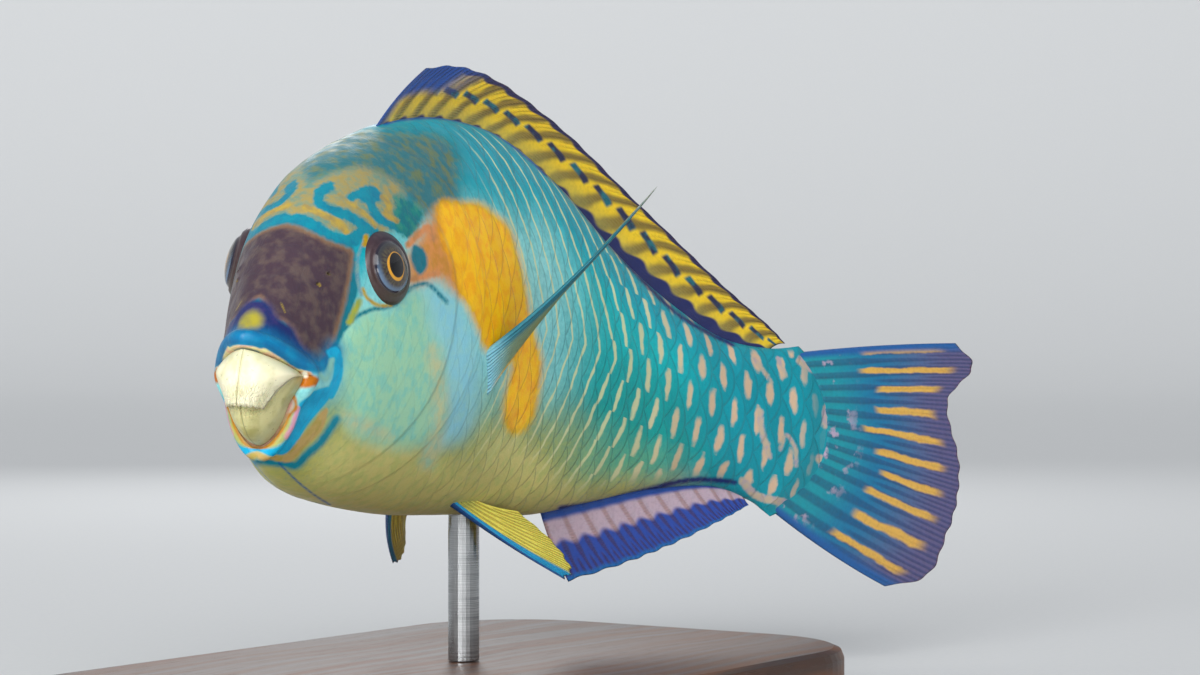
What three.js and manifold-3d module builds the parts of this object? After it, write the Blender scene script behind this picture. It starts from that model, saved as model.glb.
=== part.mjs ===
// A life-size parrotfish, about 285 mm long, held in mid-turn on a plain display stand.
// Millimetres, +Z up. The fish faces -X and its left side faces -Y.
// The origin is the middle of the underside of the stand's base.
import * as THREE from "three";
import { mergeVertices } from "three/addons/utils/BufferGeometryUtils.js";
import Module from "manifold-3d";

const wasm = await Module();
wasm.setup();

// Fish space: s runs from the snout to the tail along the spine, h is up and w is to the fish's left.
// The pose in the room
const BEND = THREE.MathUtils.degToRad(20.3);
const BEND_FROM = 24.2;
const BEND_TO = 215.6;
const PITCH = THREE.MathUtils.degToRad(8.31);
const ROLL = THREE.MathUtils.degToRad(0.51);
const PIVOT_S = 100;
const PIVOT = new THREE.Vector3(-8, 0, 80);
const SPINE_STEP = 0.5;
const SPINE_END = 320;

// Clearance between touching pieces, and how far each fin reaches into the body before it is cut to sit on it
const GAP = 0.3;
const FIN_SUNK = 1.5;

// Body sections from the lips to the tail root, each by its side, top and bottom points in fish space
const SECTIONS = [
  { side: [14.8, -14.6, 8.6], top: [3, -10.8], bottom: [16, -28.9], roundTop: 1.5, roundBottom: 1.75 },
  { side: [16.2, -14.3, 9.6], top: [2.6, -9], bottom: [16.2, -30.4], roundTop: 1.65, roundBottom: 1.8 },
  { side: [18.5, -12.5, 10.4], top: [4.4, -6.6], bottom: [18.8, -31.6], roundTop: 1.8, roundBottom: 1.75 },
  { side: [22.5, -9.5, 11.7], top: [8.6, -1.2], bottom: [22.5, -32.8], roundTop: 2, roundBottom: 1.75 },
  { side: [28, -5.5, 13.6], top: [14, 6.2], bottom: [28, -34], roundTop: 2.2, roundBottom: 1.82 },
  { side: [36, -1, 15.8], top: [23, 18.2], bottom: [36, -35.3], roundTop: 2.25, roundBottom: 2.05 },
  { side: [46, 2.5, 17.9], top: [37, 30.4], bottom: [46, -36.1], roundTop: 2.1, roundBottom: 2.15 },
  { side: [58, 5, 19.7], top: [52.5, 38.9], bottom: [58, -36.4], roundTop: 2, roundBottom: 2.2 },
  { side: [72, 7, 21], top: [69.5, 46.3], bottom: [72, -36.4], roundTop: 1.9, roundBottom: 2.2 },
  { side: [86, 8.5, 21.3], top: [85, 50.9], bottom: [86, -36], roundTop: 1.85, roundBottom: 2.2 },
  { side: [102, 9.5, 20.8], top: [101, 53.6], bottom: [102, -34.6], roundTop: 1.8, roundBottom: 2.15 },
  { side: [118, 10, 19.3], top: [117, 53.7], bottom: [118, -33], roundTop: 1.8, roundBottom: 2.1 },
  { side: [140, 9.2, 16.5], top: [139.5, 46.8], bottom: [141, -30.9], roundTop: 1.8, roundBottom: 2 },
  { side: [160, 6.8, 13.3], top: [160, 35.2], bottom: [160, -26.2], roundTop: 1.85, roundBottom: 1.9 },
  { side: [180, 3.8, 10.1], top: [180, 25.3], bottom: [180, -21], roundTop: 1.9, roundBottom: 1.9 },
  { side: [200, 1.2, 7.1], top: [200, 18.3], bottom: [200, -18.4], roundTop: 2, roundBottom: 2 },
  { side: [215, -0.6, 5.1], top: [214, 17.9], bottom: [212, -20.6], roundTop: 2.1, roundBottom: 2.1 },
  { side: [227, -1.2, 3.5], top: [220, 18.8], bottom: [215.8, -22.4], roundTop: 2.2, roundBottom: 2.2 },
  { side: [237, -1.4, 2], top: [224, 19.7], bottom: [218.5, -23.8], roundTop: 2.4, roundBottom: 2.4 },
];

// Where the head ends at the gill cover's edge, and where the tail stem begins
const GILL_EDGE = { top: 59, side: 80, bottom: 47, core: 66 };
const GILL_RISE = 1.1;
const GILL_BLEND = 26;

// The soft ridge of the lips, and the cheek plate that ends in a low step ahead of the gill cover
const LIP = { at: 1.5, reach: 1.5, rise: 0.7 };
const CHEEK = { ahead: 15, step: 2.5, rise: 0.6 };
const STEM_EDGE = { top: 217.5, side: 214, bottom: 211, core: 214 };

// Eyes
const EYE = { s: 38, h: 10.4, radius: 7.6, depth: 3.6, sunk: 0.8 };
const NOSTRIL = { s: 21.1, h: 6.2, radius: 0.8, back: 2.9, down: 2.5 };

// The beak: two fused plates that bulge out of the mouth
const BEAK = {
  inset: 0.45,
  root: 2.2,
  core: [12.0, -19.5],
  upperFront: 1.7,
  lowerFront: 3.9,
  edgeHeight: -22.3,
  edgeRise: 7.7,
  edgeFlat: 3.2,
  halfWidth: 8.7,
};
// The short tooth at each corner of the upper plate, and the block that parts the plates
const CANINE = {
  radius: 0.8,
  rootAhead: 3.2,
  rootDrop: 0.6,
  rootIn: 1.6,
  tipAhead: 5.4,
  tipDrop: 1.4,
  tipOut: 1.3,
};
const BITE_BLOCK = { steps: 12, reach: 13, top: 12, core: 5, from: -8, to: 24 };

// Fins as key rays: place along the root, root, bend and tip. A root of null lies on the back or belly line
const DORSAL = {
  rays: 19,
  rows: 5,
  notch: 0.05,
  rootThick: 1.7,
  tipThick: 0.6,
  ridge: 0.34,
  keys: [
    { at: 0.0, rootS: 62.5, bend: [73.0, 52.8, 0], tip: [86.5, 62.2, 0.4] },
    { at: 0.07, rootS: 73.0, bend: [84.5, 57.6, 0], tip: [97.5, 65.4, 0.6] },
    { at: 0.16, rootS: 86.5, bend: [98.0, 60.5, 0], tip: [111.0, 66.7, 0.7] },
    { at: 0.34, rootS: 113.0, bend: [124.5, 60.5, 0], tip: [139.5, 61.0, 0.8] },
    { at: 0.55, rootS: 144.5, bend: [157.0, 49.8, 0], tip: [171.5, 46.0, 0.8] },
    { at: 0.76, rootS: 176.0, bend: [187.0, 33.2, 0], tip: [200.0, 30.6, 0.6] },
    { at: 0.92, rootS: 200.5, bend: [208.0, 24.0, 0], tip: [215.5, 22.6, 0.3] },
    { at: 1.0, rootS: 213.5, bend: [216.8, 19.8, 0], tip: [219.8, 19.8, 0] },
  ],
};
const ANAL = {
  rays: 12,
  rows: 4,
  notch: 0.04,
  rootThick: 1.6,
  tipThick: 0.6,
  ridge: 0.3,
  keys: [
    { at: 0.0, rootS: 144.5, bend: [149.5, -38.0, 0], tip: [155.8, -45.2, 0.5] },
    { at: 0.15, rootS: 154.5, bend: [161.5, -34.8, 0], tip: [169.0, -41.0, 0.6] },
    { at: 0.45, rootS: 173.5, bend: [180.5, -28.8, 0], tip: [188.0, -33.6, 0.6] },
    { at: 0.75, rootS: 193.0, bend: [198.5, -23.4, 0], tip: [204.0, -25.8, 0.4] },
    { at: 1.0, rootS: 208.6, bend: [210.2, -20.9, 0], tip: [211.6, -21.6, 0] },
  ],
};
const CAUDAL = {
  rays: 14,
  rows: 6,
  notch: 0.015,
  rootThick: 3.0,
  tipThick: 0.6,
  ridge: 0.34,
  keys: [
    { at: 0.0, root: [221.5, 17.6, 0], bend: [250.0, 23.9, -0.6], tip: [279.5, 28.0, -2.5] },
    { at: 0.07, root: [224.6, 15.0, 0], bend: [254.0, 20.5, -0.4], tip: [285.2, 24.4, -2.0] },
    { at: 0.27, root: [230.4, 7.6, 0], bend: [254.0, 10.2, 0.6], tip: [274.8, 11.8, 1.2] },
    { at: 0.5, root: [233.0, -1.3, 0], bend: [257.0, -3.2, 0.8], tip: [279.9, -4.9, 1.6] },
    { at: 0.75, root: [229.6, -10.4, 0], bend: [253.0, -16.8, 0.2], tip: [278.2, -22.6, 0.2] },
    { at: 0.93, root: [219.6, -18.6, 0], bend: [245.0, -29.0, -0.8], tip: [270.8, -35.6, -2.2] },
    { at: 1.0, root: [215.8, -20.8, 0], bend: [238.0, -31.6, -1.0], tip: [260.4, -37.8, -3.0] },
  ],
};
// The left pectoral fin is raised like a wing. The right one lies back along the flank.
const LEFT_PECTORAL = {
  rays: 13,
  rows: 5,
  notch: 0.02,
  rootThick: 2.2,
  tipThick: 0.6,
  ridge: 0.3,
  keys: [
    { at: 0.0, root: [85.0, -1.2, 19.6], bend: [98.5, 13.6, 33.0], tip: [114.1, 39.5, 47.0] },
    { at: 0.3, root: [86.3, -4.0, 19.6], bend: [103.5, 14.4, 30.6], tip: [122.5, 40.6, 42.6] },
    { at: 0.65, root: [88.0, -7.0, 19.4], bend: [106.0, 13.6, 27.2], tip: [122.6, 33.4, 35.0] },
    { at: 1.0, root: [90.0, -10.0, 19.2], bend: [99.5, 5.6, 23.4], tip: [115.0, 20.0, 27.2] },
  ],
};
const RIGHT_PECTORAL = {
  rays: 13,
  rows: 5,
  notch: 0.02,
  rootThick: 2.2,
  tipThick: 0.6,
  ridge: 0.3,
  keys: [
    { at: 0.0, root: [85.0, -1.2, -19.6], bend: [107.0, 2.5, -27.0], tip: [134.0, 6.0, -28.5] },
    { at: 0.3, root: [86.3, -4.0, -19.6], bend: [106.0, -3.0, -27.0], tip: [133.0, -5.0, -28.0] },
    { at: 0.65, root: [88.0, -7.0, -19.4], bend: [103.0, -10.0, -26.0], tip: [124.0, -16.0, -26.5] },
    { at: 1.0, root: [90.0, -10.0, -19.2], bend: [97.5, -15.0, -23.5], tip: [107.0, -22.0, -23.0] },
  ],
};
const LEFT_PELVIC = {
  rays: 7,
  rows: 5,
  notch: 0.02,
  rootThick: 2.0,
  tipThick: 0.6,
  ridge: 0.32,
  keys: [
    { at: 0.0, root: [99.0, -31.5, 7.4], bend: [118.0, -39.5, 12.5], tip: [138.3, -45.6, 15.0] },
    { at: 0.25, root: [101.0, -31.2, 7.4], bend: [120.0, -38.5, 12.0], tip: [142.4, -43.6, 14.0] },
    { at: 0.65, root: [104.5, -30.6, 7.4], bend: [121.0, -34.8, 10.5], tip: [137.5, -36.9, 11.0] },
    { at: 1.0, root: [108.0, -30.0, 7.2], bend: [116.0, -31.4, 9.0], tip: [126.0, -31.2, 9.2] },
  ],
};
const RIGHT_PELVIC = {
  rays: 7,
  rows: 5,
  notch: 0.02,
  rootThick: 2.0,
  tipThick: 0.6,
  ridge: 0.32,
  keys: [
    { at: 0.0, root: [99.0, -31.5, -7.4], bend: [113.0, -38.0, -17.0], tip: [130.0, -44.0, -30.0] },
    { at: 0.25, root: [101.0, -31.2, -7.4], bend: [114.5, -37.6, -17.4], tip: [131.5, -43.4, -29.6] },
    { at: 0.65, root: [104.5, -30.6, -7.4], bend: [115.5, -35.8, -15.6], tip: [128.0, -39.6, -24.6] },
    { at: 1.0, root: [108.0, -30.0, -7.2], bend: [113.0, -33.0, -12.2], tip: [119.5, -35.0, -17.6] },
  ],
};

// Stand
const STAND = { length: 190, width: 120, thick: 12, bevel: 2.5, rodRadius: 3.5, rodX: 4, corner: 30 };

// Short steps for reading which way the skin faces
const STEP_ALONG = 0.2;
const STEP_AROUND = 0.02;

// Mesh counts
const AROUND = 48;
const HEAD_ROWS = 24;
const TRUNK_ROWS = 20;
const STEM_ROWS = 4;

// The smooth curve through (xs, ys), with the slope at each point taken from its neighbours.
function through(xs, ys, x) {
  const last = xs.length - 1;
  const clamped = Math.min(Math.max(x, xs[0]), xs[last]);
  let i = 0;
  while (i < last - 1 && clamped > xs[i + 1]) i += 1;
  const width = (k) => xs[k + 1] - xs[k];
  const rise = (k) => (ys[k + 1] - ys[k]) / width(k);
  const slope = (k) => {
    if (k === 0) return rise(0);
    if (k === last) return rise(last - 1);
    return (width(k - 1) * rise(k) + width(k) * rise(k - 1)) / (width(k - 1) + width(k));
  };
  const t = (clamped - xs[i]) / width(i);
  const t2 = t * t;
  const t3 = t2 * t;
  return (
    (2 * t3 - 3 * t2 + 1) * ys[i] +
    (t3 - 2 * t2 + t) * width(i) * slope(i) +
    (3 * t2 - 2 * t3) * ys[i + 1] +
    (t3 - t2) * width(i) * slope(i + 1)
  );
}

function smoothstep(x, from, to) {
  const t = Math.min(Math.max((x - from) / (to - from), 0), 1);
  return t * t * (3 - 2 * t);
}

// How far the body has turned from the X axis at s. The head and the tail both swing to the left.
function turnAt(s) {
  return BEND * (1 - 2 * smoothstep(s, BEND_FROM, BEND_TO));
}

// The spine in plan, summed in short steps from the snout
const spine = [[0, 0]];
for (let s = 0; s < SPINE_END; s += SPINE_STEP) {
  const turn = turnAt(s + SPINE_STEP / 2);
  const [x, y] = spine[spine.length - 1];
  spine.push([x + SPINE_STEP * Math.cos(turn), y + SPINE_STEP * Math.sin(turn)]);
}

function spineAt(s) {
  const at = Math.min(Math.max(s, 0), SPINE_END) / SPINE_STEP;
  const i = Math.min(Math.floor(at), spine.length - 2);
  const t = at - i;
  return [0, 1].map((k) => spine[i][k] * (1 - t) + spine[i + 1][k] * t);
}

// A point of fish space in the room
function place(s, h, w) {
  const [x, y] = spineAt(s);
  const [pivotX, pivotY] = spineAt(PIVOT_S);
  const turn = turnAt(s);
  const along = x - pivotX + w * Math.sin(turn);
  const left = -(y - pivotY) + w * Math.cos(turn);
  const pitchedAlong = along * Math.cos(PITCH) + h * Math.sin(PITCH);
  const pitchedUp = -along * Math.sin(PITCH) + h * Math.cos(PITCH);
  const rolledLeft = left * Math.cos(ROLL) - pitchedUp * Math.sin(ROLL);
  const rolledUp = left * Math.sin(ROLL) + pitchedUp * Math.cos(ROLL);
  return new THREE.Vector3(pitchedAlong, -rolledLeft, rolledUp).add(PIVOT);
}

const stationSides = SECTIONS.map((section) => section.side[0]);
const RIM = stationSides[0];
const STEM_END = stationSides[stationSides.length - 1];

function sectionValue(x, read) {
  return through(stationSides, SECTIONS.map(read), x);
}

// The body's surface: x picks the section by its side point, angle runs from the back over the left side
function bodyPoint(x, angle) {
  const c = Math.cos(angle);
  const n = Math.sin(angle);
  const upper = c >= 0;
  const end = upper ? "top" : "bottom";
  const round = sectionValue(x, (section) => (upper ? section.roundTop : section.roundBottom));
  const sideS = x;
  const sideH = sectionValue(x, (section) => section.side[1]);
  const sideW = sectionValue(x, (section) => section.side[2]);
  const endS = sectionValue(x, (section) => section[end][0]);
  const endH = sectionValue(x, (section) => section[end][1]);
  const s = sideS + (endS - sideS) * c * c;
  const h = sideH + (endH - sideH) * Math.abs(c) ** (2 / round);
  const w = sideW * Math.sign(n) * Math.abs(n) ** (2 / round);
  return [s, h, w];
}

// The height of the back or belly line at s
function ridgeHeight(s, end) {
  return through(
    SECTIONS.map((section) => section[end][0]),
    SECTIONS.map((section) => section[end][1]),
    s,
  );
}

function edgeAt(edge, angle) {
  const end = Math.cos(angle) >= 0 ? edge.top : edge.bottom;
  return edge.side + (end - edge.side) * Math.cos(angle) ** 2;
}

function geometryOf(points, faces) {
  const geometry = new THREE.BufferGeometry();
  const numbers = points.flatMap((p) => [p.x, p.y, p.z]);
  geometry.setAttribute("position", new THREE.Float32BufferAttribute(numbers, 3));
  geometry.setIndex(faces.flat());
  return signedVolume(points, faces) < 0 ? flipped(geometry) : geometry;
}

function signedVolume(points, faces) {
  return faces.reduce((sum, [a, b, c]) => {
    return sum + points[a].dot(new THREE.Vector3().crossVectors(points[b], points[c])) / 6;
  }, 0);
}

function flipped(geometry) {
  const index = Array.from(geometry.index.array);
  for (let i = 0; i < index.length; i += 3) {
    [index[i + 1], index[i + 2]] = [index[i + 2], index[i + 1]];
  }
  geometry.setIndex(index);
  return geometry;
}

// A closed solid through rings of equal length, shut at each end by a fan to a pole
function loft(rings, firstPole, lastPole) {
  const points = [...rings.flat(), firstPole, lastPole];
  const count = rings[0].length;
  const faces = [];
  for (let j = 0; j < rings.length - 1; j += 1) {
    for (let i = 0; i < count; i += 1) {
      const next = (i + 1) % count;
      const a = j * count + i;
      const b = j * count + next;
      faces.push([a, b, b + count], [a, b + count, a + count]);
    }
  }
  const lastRing = (rings.length - 1) * count;
  for (let i = 0; i < count; i += 1) {
    const next = (i + 1) % count;
    faces.push([next, i, points.length - 2]);
    faces.push([lastRing + i, lastRing + next, points.length - 1]);
  }
  return geometryOf(points, faces);
}

function ring(make, count = AROUND) {
  return Array.from({ length: count }, (_, i) => make((i / count) * Math.PI * 2));
}

// Rings that close a cut at the given edge, from the skin to the core of the body
const CAP_SHARES = [0.66, 0.33];

function capRings(edge, shift) {
  return CAP_SHARES.map((share) => ring((angle) => capPoint(edge, shift, angle, share)));
}

function capPoint(edge, shift, angle, share) {
  const [s, h, w] = bodyPoint(edgeAt(edge, angle), angle);
  const coreH = sectionValue(edge.core, (section) => section.side[1]);
  return place(edge.core + (s - edge.core) * share + shift, coreH + (h - coreH) * share, w * share);
}

function capPole(edge, shift) {
  return place(edge.core + shift, sectionValue(edge.core, (section) => section.side[1]), 0);
}

function toManifold(geometry) {
  const plain = geometry.clone();
  plain.deleteAttribute("normal");
  plain.deleteAttribute("uv");
  const merged = mergeVertices(plain, 1e-4);
  return new wasm.Manifold(
    new wasm.Mesh({
      numProp: 3,
      vertProperties: merged.attributes.position.array,
      triVerts: new Uint32Array(merged.index.array),
    }),
  );
}

// The largest closed surface of a solid, as geometry
function toGeometry(solid) {
  const pieces = solid.decompose().sort((a, b) => b.volume() - a.volume());
  const mesh = pieces[0].getMesh();
  const geometry = new THREE.BufferGeometry();
  geometry.setAttribute("position", new THREE.Float32BufferAttribute(mesh.vertProperties, 3));
  geometry.setIndex(Array.from(mesh.triVerts));
  return geometry;
}

// An ellipsoid lying on the skin, thin along the skin's normal
function lens(centre, normal, radius, depth, grow = 0) {
  const geometry = new THREE.SphereGeometry(1, 22, 14);
  geometry.scale(radius + grow, depth + grow, radius + grow);
  geometry.applyQuaternion(new THREE.Quaternion().setFromUnitVectors(new THREE.Vector3(0, 1, 0), normal));
  geometry.translate(centre.x, centre.y, centre.z);
  return geometry;
}

// Where the skin is at a given s and h on the head, and which way it faces
function skinAt(s, h, side) {
  let best = null;
  for (let x = RIM; x < GILL_EDGE.side; x += 0.5) {
    for (let angle = 0.05; angle < Math.PI; angle += 0.02) {
      const point = bodyPoint(x, angle);
      const miss = Math.hypot(point[0] - s, point[1] - h);
      if (!best || miss < best.miss) best = { miss, x, angle };
    }
  }
  const at = (dx, da) => {
    const [ps, ph, pw] = bodyPoint(best.x + dx, best.angle + da);
    return place(ps, ph, side * pw);
  };
  const along = at(1, 0).sub(at(-1, 0));
  const around = at(0, 0.05).sub(at(0, -0.05));
  const normal = new THREE.Vector3().crossVectors(around, along).normalize().multiplyScalar(side);
  return { point: at(0, 0), normal };
}

// The skin's outward direction in the room, from a short step along the body and one each way round it
function skinNormal(x, angle) {
  const at = (dx, da) => place(...bodyPoint(x + dx, angle + da));
  const along = at(STEP_ALONG, 0).sub(at(0, 0));
  const around = at(0, STEP_AROUND).sub(at(0, -STEP_AROUND));
  return new THREE.Vector3().crossVectors(around, along).normalize();
}

// Head: lips round the mouth, the cheeks and both gill covers, whose rear edge stands proud of the trunk
function headRise(x, angle) {
  const sideways = Math.sin(angle) ** 2;
  const edge = edgeAt(GILL_EDGE, angle);
  const gill = GILL_RISE * sideways * smoothstep(x, edge - GILL_BLEND, edge);
  const cheekEnd = edge - CHEEK.ahead;
  const cheekFrom = smoothstep(x, RIM, cheekEnd - CHEEK.step);
  const cheekTo = smoothstep(x, cheekEnd, cheekEnd + CHEEK.step);
  const cheek = CHEEK.rise * sideways * (cheekFrom - cheekTo);
  const lip = LIP.rise * Math.max(0, 1 - Math.abs(x - RIM - LIP.at) / LIP.reach);
  return gill + cheek + lip;
}

function mouthRing(share, back) {
  const [coreS, coreH] = BEAK.core;
  return ring((angle) => {
    const [s, h, w] = bodyPoint(RIM, angle);
    return place(coreS + (s - coreS) * share + back, coreH + (h - coreH) * share, w * share);
  });
}

function headSolid() {
  const rings = [mouthRing(0.5, 5.0), mouthRing(0.97, 4.2)];
  for (let j = 0; j <= HEAD_ROWS; j += 1) {
    const t = (j / HEAD_ROWS) ** 1.35;
    rings.push(
      ring((angle) => {
        const x = RIM + (edgeAt(GILL_EDGE, angle) - RIM) * t;
        return place(...bodyPoint(x, angle)).addScaledVector(skinNormal(x, angle), headRise(x, angle));
      }),
    );
  }
  rings.push(ring((angle) => place(...bodyPoint(edgeAt(GILL_EDGE, angle), angle))));
  rings.push(...capRings(GILL_EDGE, 0));
  const solid = loft(rings, place(BEAK.core[0] + 5.0, BEAK.core[1], 0), capPole(GILL_EDGE, 0));
  let head = toManifold(solid);
  for (const side of [1, -1]) {
    head = head.subtract(toManifold(eyeGeometry(side, GAP)));
    for (const step of [0, 1]) {
      const { point } = skinAt(NOSTRIL.s - step * NOSTRIL.back, NOSTRIL.h - step * NOSTRIL.down, side);
      const pit = new THREE.SphereGeometry(NOSTRIL.radius, 8, 6).translate(...point.toArray());
      head = head.subtract(toManifold(pit));
    }
  }
  return toGeometry(head);
}

function eyeGeometry(side, grow = 0) {
  const { point, normal } = skinAt(EYE.s, EYE.h, side);
  return lens(point.addScaledVector(normal, -EYE.sunk), normal, EYE.radius, EYE.depth, grow);
}

// Trunk and tail stem
function trunkSolid() {
  const rings = [...capRings(GILL_EDGE, GAP).reverse()];
  for (let j = 0; j <= TRUNK_ROWS; j += 1) {
    rings.push(
      ring((angle) => {
        const from = edgeAt(GILL_EDGE, angle);
        const to = edgeAt(STEM_EDGE, angle);
        const [s, h, w] = bodyPoint(from + ((to - from) * j) / TRUNK_ROWS, angle);
        return place(s + GAP * (1 - j / TRUNK_ROWS), h, w);
      }),
    );
  }
  rings.push(...capRings(STEM_EDGE, 0));
  return loft(rings, capPole(GILL_EDGE, GAP), capPole(STEM_EDGE, 0));
}

function stemSolid() {
  const rings = [...capRings(STEM_EDGE, GAP).reverse()];
  for (let j = 0; j <= STEM_ROWS; j += 1) {
    rings.push(
      ring((angle) => {
        const from = edgeAt(STEM_EDGE, angle);
        const [s, h, w] = bodyPoint(from + ((STEM_END - from) * j) / STEM_ROWS, angle);
        return place(s + GAP * (1 - j / STEM_ROWS), h, w);
      }),
    );
  }
  const endH = SECTIONS[SECTIONS.length - 1].side[1];
  return loft(rings, capPole(STEM_EDGE, GAP), place(STEM_END - 0.5, endH, 0));
}

// Beak plates: a dome over the mouth, cut along the biting edge
function beakDome(front) {
  const [coreS, coreH] = BEAK.core;
  const shares = [1, 0.93, 0.8, 0.6, 0.35];
  const rimScale = 1 - BEAK.inset / BEAK.halfWidth;
  const domePoint = (angle, share) => {
    const [s, h, w] = bodyPoint(RIM, angle);
    const lift = Math.sqrt(1 - share * share);
    const frontH = coreH - 0.5;
    const level = coreS + (s - coreS) * rimScale;
    const drawnIn = share * rimScale;
    return place(level + (front - level) * lift, frontH + (h - frontH) * drawnIn, w * drawnIn);
  };
  const rings = [mouthRing(rimScale * 0.92, BEAK.root)];
  for (const share of shares) rings.push(ring((angle) => domePoint(angle, share)));
  return toManifold(loft(rings, place(coreS + BEAK.root, coreH, 0), place(front, coreH - 0.5, 0)));
}

// Everything above the biting edge, as a block that reaches past the beak
function aboveEdge(drop) {
  const { steps, reach, top, core, from, to } = BITE_BLOCK;
  const outline = [];
  for (let i = 0; i <= steps; i += 1) {
    const w = -reach + (2 * reach * i) / steps;
    const climb = smoothstep(Math.abs(w), BEAK.edgeFlat, BEAK.halfWidth);
    outline.push([w, BEAK.edgeHeight + BEAK.edgeRise * climb - drop]);
  }
  outline.push([reach, top], [-reach, top]);
  const ringAt = (s) => outline.map(([w, h]) => place(s, h, w));
  return toManifold(loft([ringAt(from), ringAt(to)], place(from, core, 0), place(to, core, 0)));
}

function canineGeometry(side) {
  const [, h, w] = bodyPoint(RIM, Math.PI / 2);
  const { radius, rootAhead, rootDrop, rootIn, tipAhead, tipDrop, tipOut } = CANINE;
  const root = place(RIM - rootAhead, h - rootDrop, side * (w - rootIn));
  const tip = place(RIM - tipAhead, h - tipDrop, side * (w + tipOut));
  const cone = new THREE.ConeGeometry(radius, root.distanceTo(tip), 8);
  const way = tip.clone().sub(root).normalize();
  cone.applyQuaternion(new THREE.Quaternion().setFromUnitVectors(new THREE.Vector3(0, 1, 0), way));
  return cone.translate(...root.add(tip).multiplyScalar(0.5).toArray());
}

function upperBeakSolid() {
  let plate = beakDome(BEAK.upperFront).intersect(aboveEdge(0));
  for (const side of [1, -1]) plate = plate.add(toManifold(canineGeometry(side)));
  return toGeometry(plate);
}

function lowerBeakSolid() {
  return toGeometry(beakDome(BEAK.lowerFront).subtract(aboveEdge(GAP)));
}

// Fins: a sheet of rays, thicker along each ray
function finKey(fin, u, read) {
  return through(
    fin.keys.map((key) => key.at),
    fin.keys.map(read),
    u,
  );
}

// The line along which a fin grows from the back or the belly
function ridgeRoot(fin, end) {
  const away = end === "top" ? -FIN_SUNK : FIN_SUNK;
  return (u) => {
    const s = finKey(fin, u, (key) => key.rootS);
    return [s, ridgeHeight(s, end) + away, 0];
  };
}

function keyedRoot(fin) {
  return (u) => [0, 1, 2].map((k) => finKey(fin, u, (key) => key.root[k]));
}

function finPoint(fin, root, u, v) {
  const start = root(u);
  return [0, 1, 2].map((k) => {
    const bend = finKey(fin, u, (key) => key.bend[k]);
    const tip = finKey(fin, u, (key) => key.tip[k]);
    return (1 - v) ** 2 * start[k] + 2 * v * (1 - v) * bend + v * v * tip;
  });
}

// Each ray takes two columns: the crest of its ridge and the web beside it
function finSolid(fin, root) {
  const steps = 2 * (fin.rays - 1);
  const grid = Array.from({ length: steps + 1 }, (_, i) => {
    const crest = i % 2 === 0 ? 1 : 0;
    const full = crest ? 1 : 1 - fin.notch;
    const spot = (_unused, j) => ({ u: i / steps, v: (j / fin.rows) * full, crest });
    return Array.from({ length: fin.rows + 1 }, spot);
  });
  const faceOf = (side) =>
    grid.map((column) =>
      column.map(({ u, v, crest }) => {
        const at = (du, dv) => {
          const cu = Math.min(Math.max(u + du, 0), 1);
          const cv = Math.min(Math.max(v + dv, 0), 1);
          return place(...finPoint(fin, root, cu, cv));
        };
        const across = at(0.02, 0).sub(at(-0.02, 0));
        const outward = at(0, 0.05).sub(at(0, -0.05));
        const normal = new THREE.Vector3().crossVectors(across, outward).normalize();
        const web = fin.rootThick + (fin.tipThick - fin.rootThick) * Math.sqrt(v);
        const thick = web / 2 + crest * fin.ridge * (1 - 0.6 * v);
        return at(0, 0).addScaledVector(normal, side * thick);
      }),
    );
  const front = faceOf(1);
  const back = faceOf(-1);
  const rows = fin.rows + 1;
  const points = [...front.flat(), ...back.flat()];
  const behind = front.length * rows;
  const faces = [];
  const quad = (a, b, c, d) => faces.push([a, b, c], [a, c, d]);
  for (let i = 0; i < front.length - 1; i += 1) {
    for (let j = 0; j < fin.rows; j += 1) {
      const a = i * rows + j;
      quad(a, a + rows, a + rows + 1, a + 1);
      faces.push([behind + a, behind + a + rows + 1, behind + a + rows]);
      faces.push([behind + a, behind + a + 1, behind + a + rows + 1]);
    }
    const root0 = i * rows;
    const tip0 = root0 + fin.rows;
    quad(root0, behind + root0, behind + root0 + rows, root0 + rows);
    quad(tip0, tip0 + rows, behind + tip0 + rows, behind + tip0);
  }
  const lastColumn = (front.length - 1) * rows;
  for (let j = 0; j < fin.rows; j += 1) {
    quad(j, j + 1, behind + j + 1, behind + j);
    quad(lastColumn + j, behind + lastColumn + j, behind + lastColumn + j + 1, lastColumn + j + 1);
  }
  return geometryOf(points, faces);
}

// Cuts the sunk root of a fin so that it sits on its neighbours, GAP away in each of the directions given
function seated(fin, neighbours, directions) {
  let solid = toManifold(fin);
  for (const neighbour of neighbours) {
    for (const direction of directions) {
      const step = direction.clone().normalize().multiplyScalar(GAP);
      solid = solid.subtract(toManifold(neighbour.clone().translate(step.x, step.y, step.z)));
    }
  }
  return toGeometry(solid);
}

// Stand: a flat base with rounded corners and one rod up to the belly
function baseSolid() {
  const { length, width, thick, bevel, corner } = STAND;
  const outline = new THREE.Shape();
  const x = length / 2 - bevel;
  const y = width / 2 - bevel;
  outline.moveTo(-x + corner, -y);
  outline.lineTo(x - corner, -y);
  outline.absarc(x - corner, -y + corner, corner, -Math.PI / 2, 0);
  outline.absarc(x - corner, y - corner, corner, 0, Math.PI / 2);
  outline.absarc(-x + corner, y - corner, corner, Math.PI / 2, Math.PI);
  outline.absarc(-x + corner, -y + corner, corner, Math.PI, Math.PI * 1.5);
  const geometry = new THREE.ExtrudeGeometry(outline, {
    depth: thick - bevel,
    bevelEnabled: true,
    bevelThickness: bevel,
    bevelSize: bevel,
    bevelSegments: 2,
    curveSegments: 8,
  });
  const flatFoot = new THREE.BoxGeometry(length * 2, width * 2, bevel * 2).translate(0, 0, -bevel);
  return toGeometry(toManifold(geometry).subtract(toManifold(flatFoot)));
}

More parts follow.
